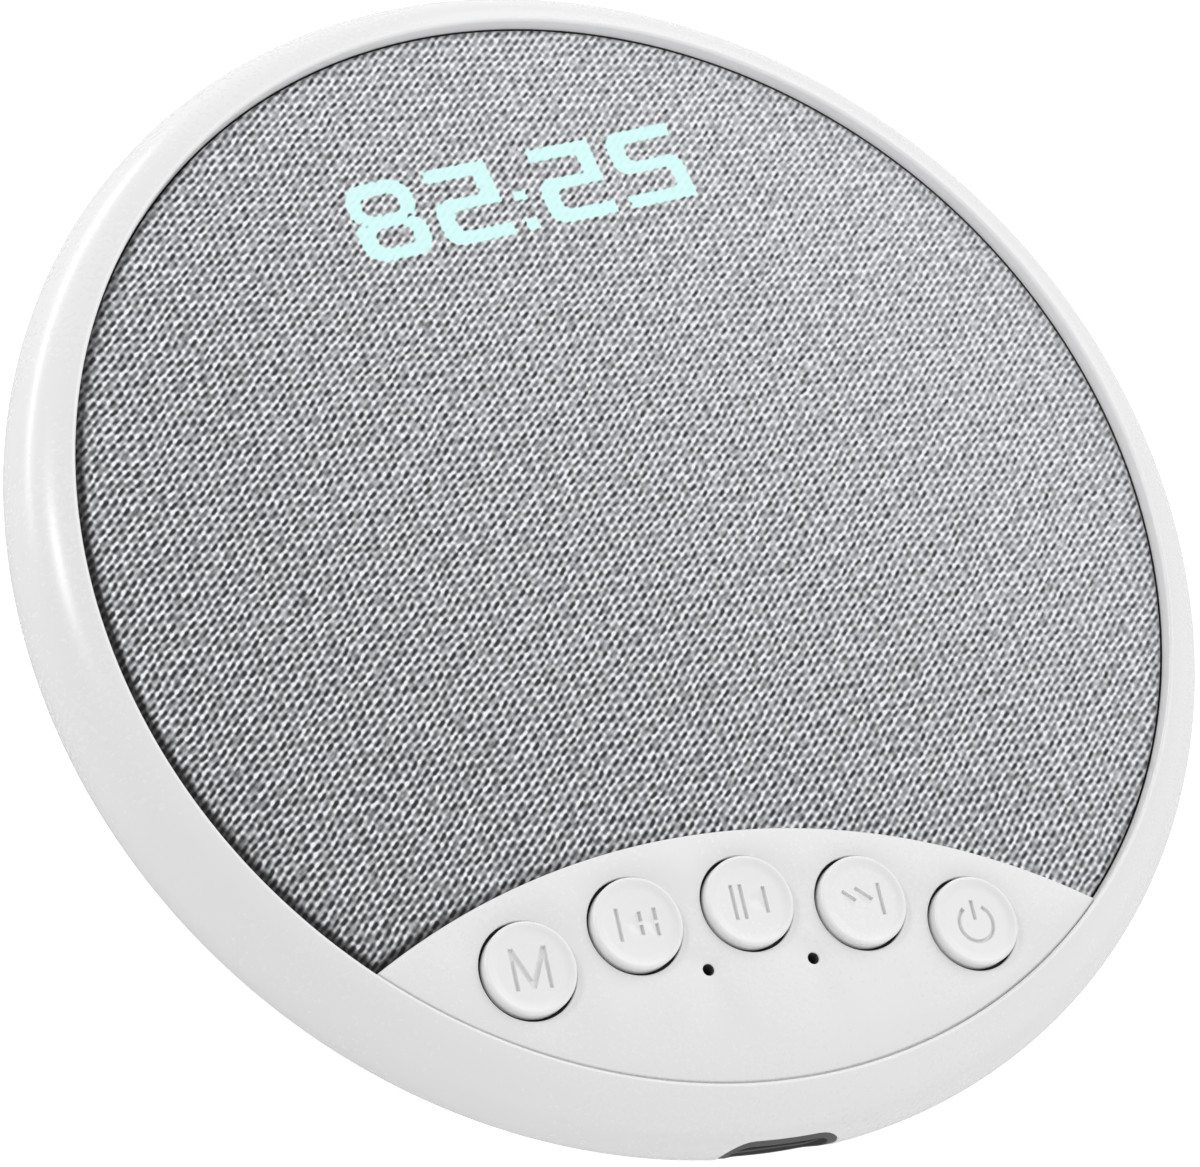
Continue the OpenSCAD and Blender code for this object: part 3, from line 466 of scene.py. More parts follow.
# Painted shade: a far darker copy of the steel for the socket's shell, standing in for the shade inside the
# slot
port_steel = metal("port_steel", (0.12, 0.12, 0.122), 0.5, (0.3, 3.0, 0.3))
brass = metal("brass", (0.7, 0.52, 0.2), 0.3)
foil = metal("cell_foil", (0.62, 0.63, 0.65), 0.42, (0.4, 2.0, 1.0))
copper = metal("coil_copper", (0.62, 0.32, 0.14), 0.35, (0.2, 0.2, 8.0))
board = moulded("board_mask", (0.012, 0.11, 0.035), 0.4, 0.4, 0.01, 0.25)
wire = moulded("wire_cover", (0.4, 0.02, 0.018), 0.45, 0.2, 0.004, 0.08)
paper = moulded("cone_paper", (0.022, 0.022, 0.022), 0.8, 0.2, 0.03, 0.3)
ribbon = moulded("ribbon_film", (0.7, 0.7, 0.66), 0.4, 0.5, 0.004, 0.05)
lamp = moulded("lamp_lens", (0.78, 0.77, 0.6), 0.2, 0.3, 0.002, 0.03)
paint = moulded("basket_paint", (0.04, 0.04, 0.042), 0.5, 0.2, 0.008, 0.1)
light_guide = moulded("light_guide", (0.6, 0.9, 0.86), 0.3, 0.3, 0.003, 0.04)

KEY_NAMES = ("mode", "previous", "play", "next", "power")
CAD_LOOKS = {
    steel: ["case_screws", "board_screws", "speaker_screws", "display_screws", "switch_bodies"],
    dark_plastic: ["grille_plate", "board_chips", "display_housing"] + [k + "_plunger" for k in KEY_NAMES],
    board: ["main_board", "display_board"],
    brass: ["microphone"],
    black_rubber: ["microphone_boot"],
    lamp: ["status_led"],
    foil: ["battery"],
    foam: ["battery_pad", "speaker_gasket"],
    wire: ["battery_leads", "speaker_leads"],
    paint: ["speaker_basket"],
    nickel: ["speaker_yoke", "speaker_magnet", "speaker_pole_plate"],
    copper: ["voice_coil"],
    paper: ["speaker_cone", "dust_cap"],
    light_guide: ["display_segments"],
    ribbon: ["display_ribbon"],
}
for look, names in CAD_LOOKS.items():
    for n in names:
        nodes[n].data.materials.clear()
        nodes[n].data.materials.append(look)


# Outlines that several pieces share

def body_profile(inset, z_low, z_high):
    """Points (radius, height) of the body's side, from z_high down to z_low, drawn in by inset."""
    top_steps, edge_steps, under_steps, tiny = 22, 12, 20, 1e-6
    top = arc(RIM_X, Z_WIDE, RIM_R - inset, 90, 0, top_steps)
    edge = arc(EDGE_X, Z_WIDE, EDGE_R - inset, 0, -math.degrees(EDGE_TURN), edge_steps)
    under = arc(UNDER_X, UNDER_Z, UNDER_R - inset, -math.degrees(EDGE_TURN), -90, under_steps)
    line = np.concatenate([top, edge[1:], under[1:]])
    z = line[:, 1]
    out = line[(z < z_high - tiny) & (z > z_low + tiny)]

    def at(height):
        """The point of the side at a height."""
        i = int(np.argmax(z <= height))
        t = (z[i - 1] - height) / (z[i - 1] - z[i])
        return line[i - 1] + t * (line[i] - line[i - 1])

    return np.concatenate([[at(z_high)], out, [at(z_low)]])


def corner_angle(r, arc_r):
    """Angles at which circles of radius r about the middle and arc_r about the crescent's centre meet."""
    y = (arc_r ** 2 - r ** 2 - ARC_Y ** 2) / (-2 * ARC_Y)
    return math.degrees(math.asin(y / r)), math.degrees(math.acos(math.sqrt(max(r * r - y * y, 0)) / arc_r))


def cloth_loop(inset, n_rim=220, n_arc=90):
    """Outline of the cloth, drawn in by inset."""
    r, ra = LIP_R - CLOTH_GAP - inset, PANEL_ARC_R + CLOTH_GAP + inset
    low, top = corner_angle(r, ra)
    rim = arc(0, 0, r, low, 180 - low, n_rim)
    crescent = arc(0, ARC_Y, ra, 180 - top, top, n_arc)
    return np.concatenate([rim[:-1], crescent[:-1]])


def panel_loop(inset, seat=0.0, n_rim=110, n_arc=90):
    """Outline of the crescent, drawn in by inset; seat widens its round side alone."""
    r, ra = LIP_R - FACE_GAP / 2 - inset + seat, PANEL_ARC_R - inset
    low, top = corner_angle(r, ra)
    rim = arc(0, 0, r, -180 - low, low, n_rim)
    crescent = arc(0, ARC_Y, ra, top, 180 - top, n_arc)
    return np.concatenate([rim[:-1], crescent[:-1]])


def key_at(i):
    return KEY_ARC_R * math.sin(i * KEY_STEP), ARC_Y + KEY_ARC_R * math.cos(i * KEY_STEP)


def pin_at(side):
    return side * PIN_HALF, ARC_Y + math.sqrt(PIN_ARC_R ** 2 - PIN_HALF ** 2)


def stadium(w, h, steps=14):
    """Stadium about the origin, counter-clockwise."""
    right = arc((w - h) / 2, 0, h / 2, -90, 90, steps)
    left = arc(-(w - h) / 2, 0, h / 2, 90, 270, steps)
    return densify(np.concatenate([right, left]), 0.35)


def level(loop, z):
    return np.column_stack([loop, np.full(len(loop), z)])


def box_loop(x0, y0, x1, y1):
    return np.array([[x0, y0], [x1, y0], [x1, y1], [x0, y1]], float)


def turned(loop):
    """A shape of the display's row, turned with the row."""
    c, t = math.cos(ROW_TURN), math.sin(ROW_TURN)
    return loop @ np.array([[c, t], [-t, c]])


def in_any(points, loops):
    return np.any([inside(points, o) for o in loops], axis=0)


# Front housing: lip, rounded rim, seam edge, deck and the port's slot

PORT_COLUMN, PORT_HALF, SLOT_EDGE, COLLAR_W = 3 * SEGMENTS // 4, 11, 0.14, 0.85


def side_radius(z):
    """Radius of the outer side at a height between the seam and the lip."""
    rise = (z - Z_WIDE) ** 2
    upper = RIM_X + np.sqrt(np.maximum(RIM_R ** 2 - rise, 0))
    lower = EDGE_X + np.sqrt(np.maximum(EDGE_R ** 2 - rise, 0))
    return np.where(z >= Z_WIDE, upper, lower)


def housing_outline():
    """Section of the outer side in three runs: wall beside the cloth, lip, and rim down to the seam."""
    lip, edge, bevel, top = 0.3, 0.2, 0.1, Z_LIP - 0.02
    rim = body_profile(0, Z_SEAM + edge, top)
    lip_arc = arc(LIP_R + lip, top - lip, lip, 180, 84, 6)
    rim = rim[rim[:, 0] > lip_arc[-1, 0] + 0.12]
    x, z = rim[-1]
    foot = [[x - 0.02, z - 0.08], [x - 0.12, Z_SEAM + 0.03], [x - 0.28, Z_SEAM]]
    root = [[DECK_R, Z_DECK], [LIP_R - bevel, Z_DECK], [LIP_R, Z_DECK + bevel], [LIP_R, Z_FACE - bevel]]
    return [np.array(root), lip_arc, np.concatenate([rim, foot])]


def on_side(loop, inset):
    """An outline of the slot, stood upright on the outer side and pushed in by inset."""
    z = loop[:, 1] + Z_PORT
    y = -np.sqrt(side_radius(z) ** 2 - loop[:, 0] ** 2)
    return np.stack([loop[:, 0], y + inset, z], 1)


def port_patch(s, rows):
    """The side round the slot: laid out flat, cut, wrapped back on and led into the dark collar."""
    run = np.concatenate([[0], np.cumsum(np.linalg.norm(np.diff(rows, axis=0), axis=1))])
    wide = np.arange(-PORT_HALF, PORT_HALF + 1) * 2 * math.pi / SEGMENTS * BODY_R
    width, height = USB_W + 2 * COLLAR_W, USB_H + 2 * COLLAR_W

    def unroll(x, z):
        turn = np.arcsin(np.clip(x / side_radius(z), -1, 1))
        return np.stack([turn * BODY_R, np.interp(-z, -rows[:, 1], run)], 1)

    def wrap(flat):
        z = np.interp(flat[:, 1], run, rows[:, 1])
        on_row = np.min(np.abs(flat[:, 1, None] - run[None]), axis=1) < 1e-6
        r = np.where(on_row, np.interp(flat[:, 1], run, rows[:, 0]), side_radius(z))
        turn = flat[:, 0] / BODY_R
        return np.stack([r * np.sin(turn), -r * np.cos(turn), z], 1)

    mouth = stadium(width + 2 * SLOT_EDGE, height + 2 * SLOT_EDGE)
    hole = unroll(mouth[:, 0], mouth[:, 1] + Z_PORT)
    border = [(x, run[0]) for x in wide[:-1]] + [(wide[-1], v) for v in run[:-1]]
    border += [(x, run[-1]) for x in wide[:0:-1]] + [(wide[0], v) for v in run[:0:-1]]
    grid = np.array([(x, v) for v in run[1:-1] for x in wide[1:-1]])
    clear_of_edge = 0.3
    clear = np.min(np.linalg.norm(grid[:, None] - hole[None], axis=2), axis=1) > clear_of_edge
    flat, tris = fill([border, hole], grid[clear & ~inside(grid, hole)])
    s.add(wrap(flat), tris[~inside(flat[tris].mean(1), hole)])
    rings = [wrap(hole)]
    for k in range(1, 6):
        a = math.pi / 2 * k / 5
        out = 2 * SLOT_EDGE * (1 - math.sin(a))
        rings.append(on_side(stadium(width + out, height + out), SLOT_EDGE * (1 - math.cos(a))))
    s.rings(rings)
    collar = [rings[-1]]
    for out, inset in ((2 * COLLAR_W - 0.02, 0.1), (COLLAR_W, 0.1), (0.24, 0.1), (0.06, 0.2)):
        collar.append(on_side(stadium(USB_W + out, USB_H + out), inset))
    throat = collar[-1]
    for y in (-53.6, -51.5, -49.15):
        deep = throat.copy()
        deep[:, 1] = np.maximum(throat[:, 1] + 0.1, y)
        collar.append(deep)
    # The collar takes the dark colour, partly painted shade of the slot
    s.rings(collar, 1, cap=(False, True))


def deck(s):
    """The floor of the face, with openings for the loudspeaker, the display and the key stems."""
    half_w, half_h, opening_r = 18.2, 5.3, 18.5
    window = box_loop(-half_w, -half_h, half_w, half_h) + [ROW_SHIFT, ROW_Y]
    holes = [circle(0, SPEAKER_Y, opening_r, 96), densify(turned(window), 3.0)]
    holes += [circle(*key_at(i), STEM_HOLE_R, 32) for i in range(-2, 3)]
    for z in (Z_DECK, Z_UNDER):
        s.flat([circle(0, 0, DECK_R, SEGMENTS)] + holes, z, lambda m: ~in_any(m, holes))
    for o in holes:
        s.rings([level(o, Z_DECK), level(o, Z_UNDER)])


def front_housing():
    s = Shape()
    root, lip, rim = housing_outline()
    rim = np.concatenate([lip[-1:], rim])
    patch_high, patch_low, patch_r = Z_FACE, Z_SEAM + 0.45, 52.5
    first = next(i for i, (r, z) in enumerate(rim) if r > patch_r and z < patch_high)
    last = next(i for i, (r, z) in enumerate(rim) if i > first and z < patch_low)

    def in_patch(i, j):
        return first <= i < last and PORT_COLUMN - PORT_HALF <= j < PORT_COLUMN + PORT_HALF

    # The wall under the cloth's edge takes the painted shade of the gap
    s.lathe(root, 1)
    # The lip takes the painted highlight
    s.lathe(np.concatenate([root[-1:], lip]), 2)
    s.lathe(rim, skip=in_patch)
    inner = body_profile(WALL, Z_SEAM, Z_UNDER)[::-1]
    s.lathe(np.concatenate([rim[-1:], inner, [[DECK_R, Z_UNDER]]]))
    port_patch(s, rim[first:last + 1])
    deck(s)
    looks = [white, collar_and_gap_shade, lip_highlight]
    return s.piece("front_housing_shell", looks, "body", "front_housing")


# Rear cover and foot ring

def rear_cover():
    s = Shape()
    top = Z_SEAM - SEAM_GAP
    side = body_profile(0, Z_FLOOR, top - 0.15)
    edge_r, foot_gap = side[0][0], 0.05
    foot_in, foot_out = FOOT_R - FOOT_W / 2 - foot_gap, FOOT_R + FOOT_W / 2 + foot_gap
    line = [[edge_r - 1.7, top], [edge_r - 0.32, top], [edge_r - 0.1, top - 0.05]]
    line += [p for p in side.tolist() if p[0] > foot_out + 0.3]
    edge = [[0.18, Z_FLOOR], [0.06, Z_FLOOR + 0.05], [0, Z_FLOOR + 0.18], [0, FOOT_T]]
    line += [[foot_out + x, z] for x, z in edge]
    line += [[foot_in - x, z] for x, z in edge[::-1]]
    line += [[r, Z_FLOOR] for r in (27, 20, 10, 0)]
    s.lathe(line)
    inner = body_profile(WALL, Z_FLOOR + WALL, top)[::-1]
    inside_line = [[r, Z_FLOOR + WALL] for r in (0, 12, 24)] + [p for p in inner.tolist() if p[0] > 30]
    s.lathe(inside_line + line[:1])
    return s.piece("rear_cover_shell", [white], "body", "rear_cover")


def foot_ring():
    s = Shape()
    low, high = FOOT_R - FOOT_W / 2, FOOT_R + FOOT_W / 2
    top, bend, grooves, margin, groove_w, groove_d = FOOT_T - 0.02, 0.25, 7, 0.6, 0.42, 0.1
    pitch = (FOOT_W - 2 * margin) / grooves
    line = [[low, top], [low, bend], [low + 0.08, 0.08], [low + bend, 0.0]]
    for k in range(grooves):
        x = low + margin + k * pitch
        line += [[x, 0.0], [x + 0.12, groove_d], [x + groove_w - 0.12, groove_d], [x + groove_w, 0.0]]
    line += [[high - bend, 0.0], [high - 0.08, 0.08], [high, bend], [high, top]]
    s.lathe(line, loop=True)
    return s.piece("foot_ring_rubber", [rubber], "body", "foot_ring")


# Control panel

def pocket_loop(x, y):
    """Outline of the pocket for a key's flange and its tab."""
    half = TAB_W / 2 + 0.15
    open_angle = math.degrees(math.asin(half / POCKET_R))
    bow = arc(0, 0, POCKET_R, -90 + open_angle, 270 - open_angle, 80)
    deep = TAB_Y + 0.25
    return np.concatenate([bow, [[-half, -deep], [half, -deep]]]) + [x, y]


def control_panel():
    s = Shape()
    edge, seat, round_off = 0.14, 0.12, 0.1
    z_seat, z_dark, z_ledge = Z_PANEL - 0.3, Z_PANEL - 0.55, Z_FLANGE + 0.05
    quarter = [math.pi / 2 * k / 4 for k in range(5)]
    side = [level(panel_loop(edge * (1 - math.sin(a))), Z_PANEL - edge * (1 - math.cos(a))) for a in quarter]
    side += [level(panel_loop(0), z_seat + 0.1), level(panel_loop(0, seat * 0.7), z_seat + 0.03)]
    side += [level(panel_loop(0, seat), z_seat), level(panel_loop(0, seat), Z_DECK)]
    s.rings(side)
    tops, lows = [], []
    holes = [(*key_at(i), KEY_R + KEY_GAP, 96) for i in range(-2, 3)]
    holes += [(*pin_at(k), PIN_R, 32) for k in (-1, 1)]
    for x, y, r, n in holes:
        rings = []
        for a in quarter:
            bend = circle(x, y, r + round_off * (1 - math.sin(a)), n)
            rings.append(level(bend, Z_PANEL - round_off * (1 - math.cos(a))))
        tops.append(circle(x, y, r + round_off, n))
        wall = circle(x, y, r, n)
        if r == PIN_R:
            s.rings(rings)
            # Below the round-off the pinhole's wall takes the painted shade
            s.rings([rings[-1], level(wall, Z_DECK)], 1)
            lows.append(wall)
            continue
        pocket = pocket_loop(x, y)
        s.rings(rings + [level(wall, z_dark)])
        # Below z_dark the hole's wall takes the painted shade of the gap round the key
        s.rings([level(wall, z_dark), level(wall, z_ledge)], 1)
        s.flat([pocket, wall], z_ledge, lambda m: inside(m, pocket) & ~inside(m, wall))
        s.rings([level(pocket, z_ledge), level(pocket, Z_DECK)])
        lows.append(pocket)
    top_loop, low_loop = panel_loop(edge), panel_loop(0, seat)
    s.flat([top_loop] + tops, Z_PANEL, lambda m: inside(m, top_loop) & ~in_any(m, tops))
    s.flat([low_loop] + lows, Z_DECK, lambda m: inside(m, low_loop) & ~in_any(m, lows))
    return s.piece("control_panel_crescent", [white, gap_shade], "body", "control_panel")


# Keys, with engraved signs: a sign is a list of (outline, depth)

DEEP, FAINT, STROKE = 0.32, 0.015, 0.36


def stroke(x0, y0, x1, y1):
    """Straight groove between two points."""
    a, b = np.array([x0, y0]), np.array([x1, y1])
    side = np.array([y0 - y1, x1 - x0]) / np.linalg.norm(b - a) * STROKE / 2
    return np.array([a - side, b - side, b + side, a + side])


def sign_mode():
    half = [(-1.64, -1.76), (-1.27, -1.76), (-1.27, 0.75), (-0.18, -1.68)]
    other = [(-x, y) for x, y in half[::-1]]
    upper = [(1.64, 1.76), (1.22, 1.76), (0, -0.92), (-1.22, 1.76), (-1.64, 1.76)]
    return [(np.array(half + other + upper), DEEP)]


def arrow(x, length, height):
    """Triangle that points left, with a deep, broken right edge and a faint face."""
    edge = x + length
    gap, side = 0.14, edge - 0.3
    face = np.array([(x, 0), (side, -height * 0.8), (side, height * 0.8)])
    halves = [(gap, height), (-height, -gap)]
    return [(face, FAINT)] + [(stroke(edge, low, edge, high), DEEP) for low, high in halves]


def sign_previous():
    return [(stroke(-1.7, -1.4, -1.7, 1.4), DEEP)] + arrow(-1.1, 1.37, 1.0) + arrow(0.6, 1.03, 1.2)


def sign_play():
    bars = [(stroke(x, -1.5, x, 1.5), DEEP) for x in (-1.46, -0.62)]
    face = np.array([(0.0, 0), (1.13, -0.9), (1.13, 0.9)])
    return bars + [(face, FAINT), (stroke(1.43, -1.15, 1.43, 1.15), DEEP)]


def sign_next():
    upper = [(stroke(-1.78, 0.95, -0.69, 0.05), DEEP), (stroke(-0.53, 1.15, 0.87, 0.0), DEEP)]
    faces = [(np.array([(-1.7, 0.5), (-1.7, -0.9), (-0.85, -0.2)]), FAINT),
             (np.array([(-0.4, 0.6), (-0.4, -1.0), (0.62, -0.2)]), FAINT)]
    return upper + faces + [(stroke(1.65, -1.4, 1.65, 1.4), DEEP)]


def sign_power():
    r = 1.6
    ring = [arc(0, -0.2, r + STROKE / 2, 122, 418, 40), arc(0, -0.2, r - STROKE / 2, 418, 122, 40)]
    return [(np.concatenate(ring), DEEP), (stroke(0, 0.1, 0, 1.85), DEEP)]


def shrink(loop, d):
    """The outline drawn in by d on every side."""
    if np.sum(loop[:, 0] * np.roll(loop[:, 1], -1) - np.roll(loop[:, 0], -1) * loop[:, 1]) < 0:
        return shrink(loop[::-1], d)[::-1]
    before, after = loop - np.roll(loop, 1, 0), np.roll(loop, -1, 0) - loop
    before /= np.linalg.norm(before, axis=1)[:, None]
    after /= np.linalg.norm(after, axis=1)[:, None]
    m = before + after
    m = m / np.maximum((m * m).sum(1), 0.5)[:, None] * 2
    return loop + d * np.column_stack([-m[:, 1], m[:, 0]])


def key(name, i, sign):
    s = Shape()
    cx, cy = key_at(i)
    top, edge, rim_w, face_r, dip, sag = Z_PANEL + KEY_PROUD, 0.2, 0.1, 3.24, 0.15, 0.06
    n, draft, clear = 120, 0.03, 0.14

    def put(loop, z):
        return np.column_stack([loop + [cx, cy], z])

    def dish(p):
        return top - dip - sag * (1 - (p ** 2).sum(1) / face_r ** 2)

    rim_r = KEY_R - edge - rim_w
    line = [[face_r, top - dip], [face_r + 0.06, top - dip * 0.8]]
    line += [[rim_r - 0.06, top - dip * 0.15], [rim_r, top]]
    line += arc(KEY_R - edge, top - edge, edge, 90, 0, 7).tolist()
    skirt = [[KEY_R, Z_PANEL - 0.5], [KEY_R, Z_FLANGE], [FLANGE_R, Z_FLANGE], [FLANGE_R, Z_FLANGE - FLANGE_T],
             [STEM_R, Z_FLANGE - FLANGE_T], [STEM_R, Z_STEM]]
    s.lathe(line + skirt[:1], centre=(cx, cy), steps=n)
    # The skirt below the panel, the flange and the stem take the painted shade of the gap
    s.lathe(skirt, 1, centre=(cx, cy), steps=n)
    s.add(level(circle(cx, cy, STEM_R, n), Z_STEM), [tuple(range(n))], 1)
    loops = [densify(o, 0.25) for o, _ in sign]
    ring = circle(0, 0, face_r, n)
    cloud = np.concatenate([circle(0, 0, r, round(r * 14)) for r in (0.5, 1.1, 1.7, 2.3, 2.8)])
    cloud = [p for p in cloud if min(np.min(np.linalg.norm(o - p, axis=1)) for o in loops) > clear]
    pts, tris = fill([ring] + loops, cloud)
    mid = pts[tris].mean(1)
    s.add(put(pts, dish(pts)), tris[inside(mid, ring) & ~in_any(mid, loops)])
    for loop, (_, depth) in zip(loops, sign):
        low = shrink(loop, draft)
        s.rings([put(loop, dish(loop)), put(low, dish(low) - depth)])
        pts, tris = fill([low])
        s.add(put(pts, dish(pts) - depth), tris[inside(pts[tris].mean(1), low)])
    z_tab = Z_FLANGE - FLANGE_T
    s.box((cx - TAB_W / 2, cy - TAB_Y, z_tab + 0.02), (cx + TAB_W / 2, cy - FLANGE_R + 0.1, Z_FLANGE - 0.02))
    looks = [key_white, gap_shade]
    return s.piece(name + "_key_cap", looks, name + "_key", name + "_button", sharp=28)


# Cloth with the lit digits

# Distance from a digit's edge, in millimetres, over which its light is worked out
GLOW_REACH = 0.4
# Direction, on the face, of the side where the lip leans over the cloth
LEAN = (-0.75, -0.66)


def digit_loops():
    """Outlines of the lit row, as (outline, holes), in millimetres on the face."""
    two = [(-3.2, 6.5, 0.1), (-3.1, 7.97, 0.2), (3.45, 7.97, 0.2), (3.45, 3.4, 0.15), (-1.65, 3.4, 0.7),
           (-1.65, 1.45, 0.7), (3.45, 1.45, 0.15), (3.45, 0, 0.15), (-3.5, 0, 1.6), (-3.5, 4.75, 1.6),
           (1.6, 4.75, 0.15), (1.6, 6.5, 0.15)]
    five = [(3.6, 7.97, 0.2), (-3.6, 7.97, 1.7), (-3.6, 3.4, 1.5), (1.85, 3.4, 0.55), (1.85, 1.45, 0.55),
            (-3.65, 1.45, 0.15), (-3.65, 0, 0.2), (3.55, 0, 0.2), (3.55, 4.75, 1.3), (-1.7, 4.75, 0.75),
            (-1.7, 6.5, 0.75), (3.5, 6.5, 0.15)]
    eight = [(-3.5, 0, 2.0), (3.5, 0, 2.0), (3.5, 3.95, 1.5), (2.45, 4.05, 0.2), (3.35, 4.25, 1.3),
             (3.35, 7.95, 2.1), (-3.35, 7.95, 2.1), (-3.35, 4.25, 1.2), (-2.85, 4.05, 0.2), (-3.5, 3.85, 1.2)]
    eyes = [[(-1.8, 4.65, 0.8), (1.7, 4.65, 0.8), (1.7, 6.4, 0.8), (-1.8, 6.4, 0.8)],
            [(-1.65, 1.4, 0.8), (1.7, 1.4, 0.8), (1.7, 3.15, 0.8), (-1.65, 3.15, 0.8)]]
    dots = [[(-0.72, low, 0.2), (0.72, low, 0.2), (0.72, high, 0.2), (-0.72, high, 0.2)]
            for low, high in ((3.15, 4.25), (0.05, 1.4))]
    row = [(eight, eyes, -11.26), (two, [], -3.25), (dots[0], [], 2.05), (dots[1], [], 2.05), (two, [], 7.52),
           (five, [], 15.95)]

    def put(corners, x):
        return densify(turned(rounded(corners) + [x, ROW_Y - 4.0]), 0.2)

    return [(put(o, x), [put(h, x) for h in holes]) for o, holes, x in row]


def glow_depth(points, digits):
    """Distance of points to the digits' edges, above zero within the light and at most GLOW_REACH."""
    depth = np.full(len(points), GLOW_REACH)
    for loop in [o for outline, holes in digits for o in (outline, *holes)]:
        start, along = loop, np.roll(loop, -1, 0) - loop
        to = points[:, None] - start[None]
        t = np.clip((to * along).sum(2) / (along ** 2).sum(1), 0, 1)
        gap = np.linalg.norm(to - t[..., None] * along[None], axis=2).min(1)
        depth = np.minimum(depth, gap)
    return np.where(is_lit(points, digits), depth, -depth)


def is_lit(points, digits):
    on = np.zeros(len(points), bool)
    for outline, holes in digits:
        here = inside(points, outline)
        for h in holes:
            here &= ~inside(points, h)
        on |= here
    return on


def edge_shade(points):
    """Shade along the edge of the cloth, 0 to 1, widest where the lip leans over it."""
    x, y = points[:, 0], points[:, 1]
    radius = np.hypot(x, y)
    lean = np.maximum(0, (x * LEAN[0] + y * LEAN[1]) / np.maximum(radius, 1))
    dark, soft, strength = 0.05 + 0.72 * lean, 0.15 + 0.3 * lean, np.clip(0.35 + 0.9 * lean, 0, 1)
    depth = LIP_R - FACE_GAP - radius
    by_lip = np.clip(1 - (depth - dark) / soft, 0, 1) * strength
    dark, soft, strength = 0.5, 0.35, np.clip(-0.05 - x / 32, 0, 0.95)
    depth = np.hypot(x, y - ARC_Y) - PANEL_ARC_R - CLOTH_GAP
    by_panel = np.clip(1 - (depth - dark) / soft, 0, 1) * strength
    return np.maximum(by_lip, by_panel)


def grille_cloth():
    s = Shape()
    bend = 0.28
    quarter = [math.pi / 2 * k / 6 for k in range(7)]
    rings = [level(cloth_loop(bend * (1 - math.sin(a))), Z_FACE - bend * (1 - math.cos(a))) for a in quarter]
    s.rings(rings)
    # The cloth's turned-down edge takes the painted shade of the gap along the lip
    s.rings([rings[-1], level(cloth_loop(0), Z_DECK + 0.05)], 2)
    bands = [bend, 0.45, 0.6, 0.8, 1.0, 1.3]
    s.rings([level(cloth_loop(d), Z_FACE) for d in bands])
    edge = cloth_loop(bands[-1])
    digits = digit_loops()
    lines = [o for outline, holes in digits for o in (outline, *holes)]
    step, clear = 4.0, 0.8
    grid = np.stack(np.meshgrid(np.arange(-48, 49, step), np.arange(-40, 49, step)), -1).reshape(-1, 2)
    near = np.concatenate([edge] + lines)
    grid = grid[inside(grid, edge)]
    grid = grid[np.min(np.linalg.norm(grid[:, None] - near[None], axis=2), axis=1) > clear]
    # Two rows of points on each side of a digit's edge, less those that another edge comes close to
    offsets = [k * GLOW_REACH for k in (-1, -0.5, 0.5, 1)]
    beside = np.concatenate([shrink(o, d) for o in lines for d in offsets])
    reach = np.abs(glow_depth(beside, digits))
    beside = beside[(reach > 0.15) & ~((reach > 0.25) & (reach < 0.35))]
    pts, tris = fill([edge] + lines, np.concatenate([grid, beside]))
    mid = pts[tris].mean(1)
    on, shine = inside(mid, edge), is_lit(mid, digits)
    spots = level(pts, Z_FACE)
    s.add(spots, tris[on & ~shine], 0)
    s.add(spots, tris[on & shine], 1)
    looks = [cloth, lit, gap_shade]
    obj = s.piece("grille_cloth_sheet", looks, "body", "grille_cloth", sharp=60, weld=0.001)
    places = np.array([v.co[:2] for v in obj.data.vertices]) / MM
    glow = obj.data.attributes.new("glow", "FLOAT", "POINT")
    glow.data.foreach_set("value", glow_depth(places, digits).astype(np.float32))
    shade = obj.data.attributes.new("edge_shade", "FLOAT", "POINT")
    shade.data.foreach_set("value", edge_shade(places).astype(np.float32))
    return obj


# Loudspeaker surround, split so that the cone can move: its lip goes with the cone, its roll stays

Z_ROLL, LIP_IN, LIP_OUT = 9.95, 14.75, 15.88


def surround_lip():
    s = Shape()
    thick, curl = 0.3, 0.55
    line = [[LIP_IN, Z_ROLL], [LIP_OUT, Z_ROLL], [LIP_OUT, Z_ROLL + curl]]
    line += arc(LIP_OUT - thick / 2, Z_ROLL + curl, thick / 2, 45, 180, 6).tolist()
    line += [[LIP_OUT - thick, Z_ROLL + thick + 0.1], [LIP_OUT - thick - 0.1, Z_ROLL + thick]]
    line += [[LIP_IN + 0.15, Z_ROLL + thick], [LIP_IN, Z_ROLL + thick - 0.15]]
    s.lathe(line, loop=True, centre=(0, SPEAKER_Y), steps=144)
    return s.piece("surround_lip_ring", [black_rubber], "cone", "speaker_surround")


def surround_roll():
    s = Shape()
    middle, z_root, z_seat, flange_r = 16.9, Z_ROLL + 0.3, Z_ROLL - 0.27, 18.45
    over = arc(0, 0, 1, 0, 180, 20) * [0.9, 1.05] + [middle, z_root]
    under = arc(0, 0, 1, 180, 0, 20) * [0.6, 0.75] + [middle, z_root]
    flange = [[middle + 0.6, z_seat], [flange_r, z_seat]]
    flange += [[flange_r, z_root - 0.08], [flange_r - 0.08, z_root]]
    line = np.concatenate([flange, over, under])
    s.lathe(line, loop=True, centre=(0, SPEAKER_Y), steps=144)
    return s.piece("surround_roll_ring", [black_rubber], "body", "speaker_surround")


# Charging socket

def in_port(loop, y):
    """An outline of the socket, stood upright at depth y in the port."""
    return np.stack([loop[:, 0], np.full(len(loop), y), loop[:, 1] + Z_PORT], 1)


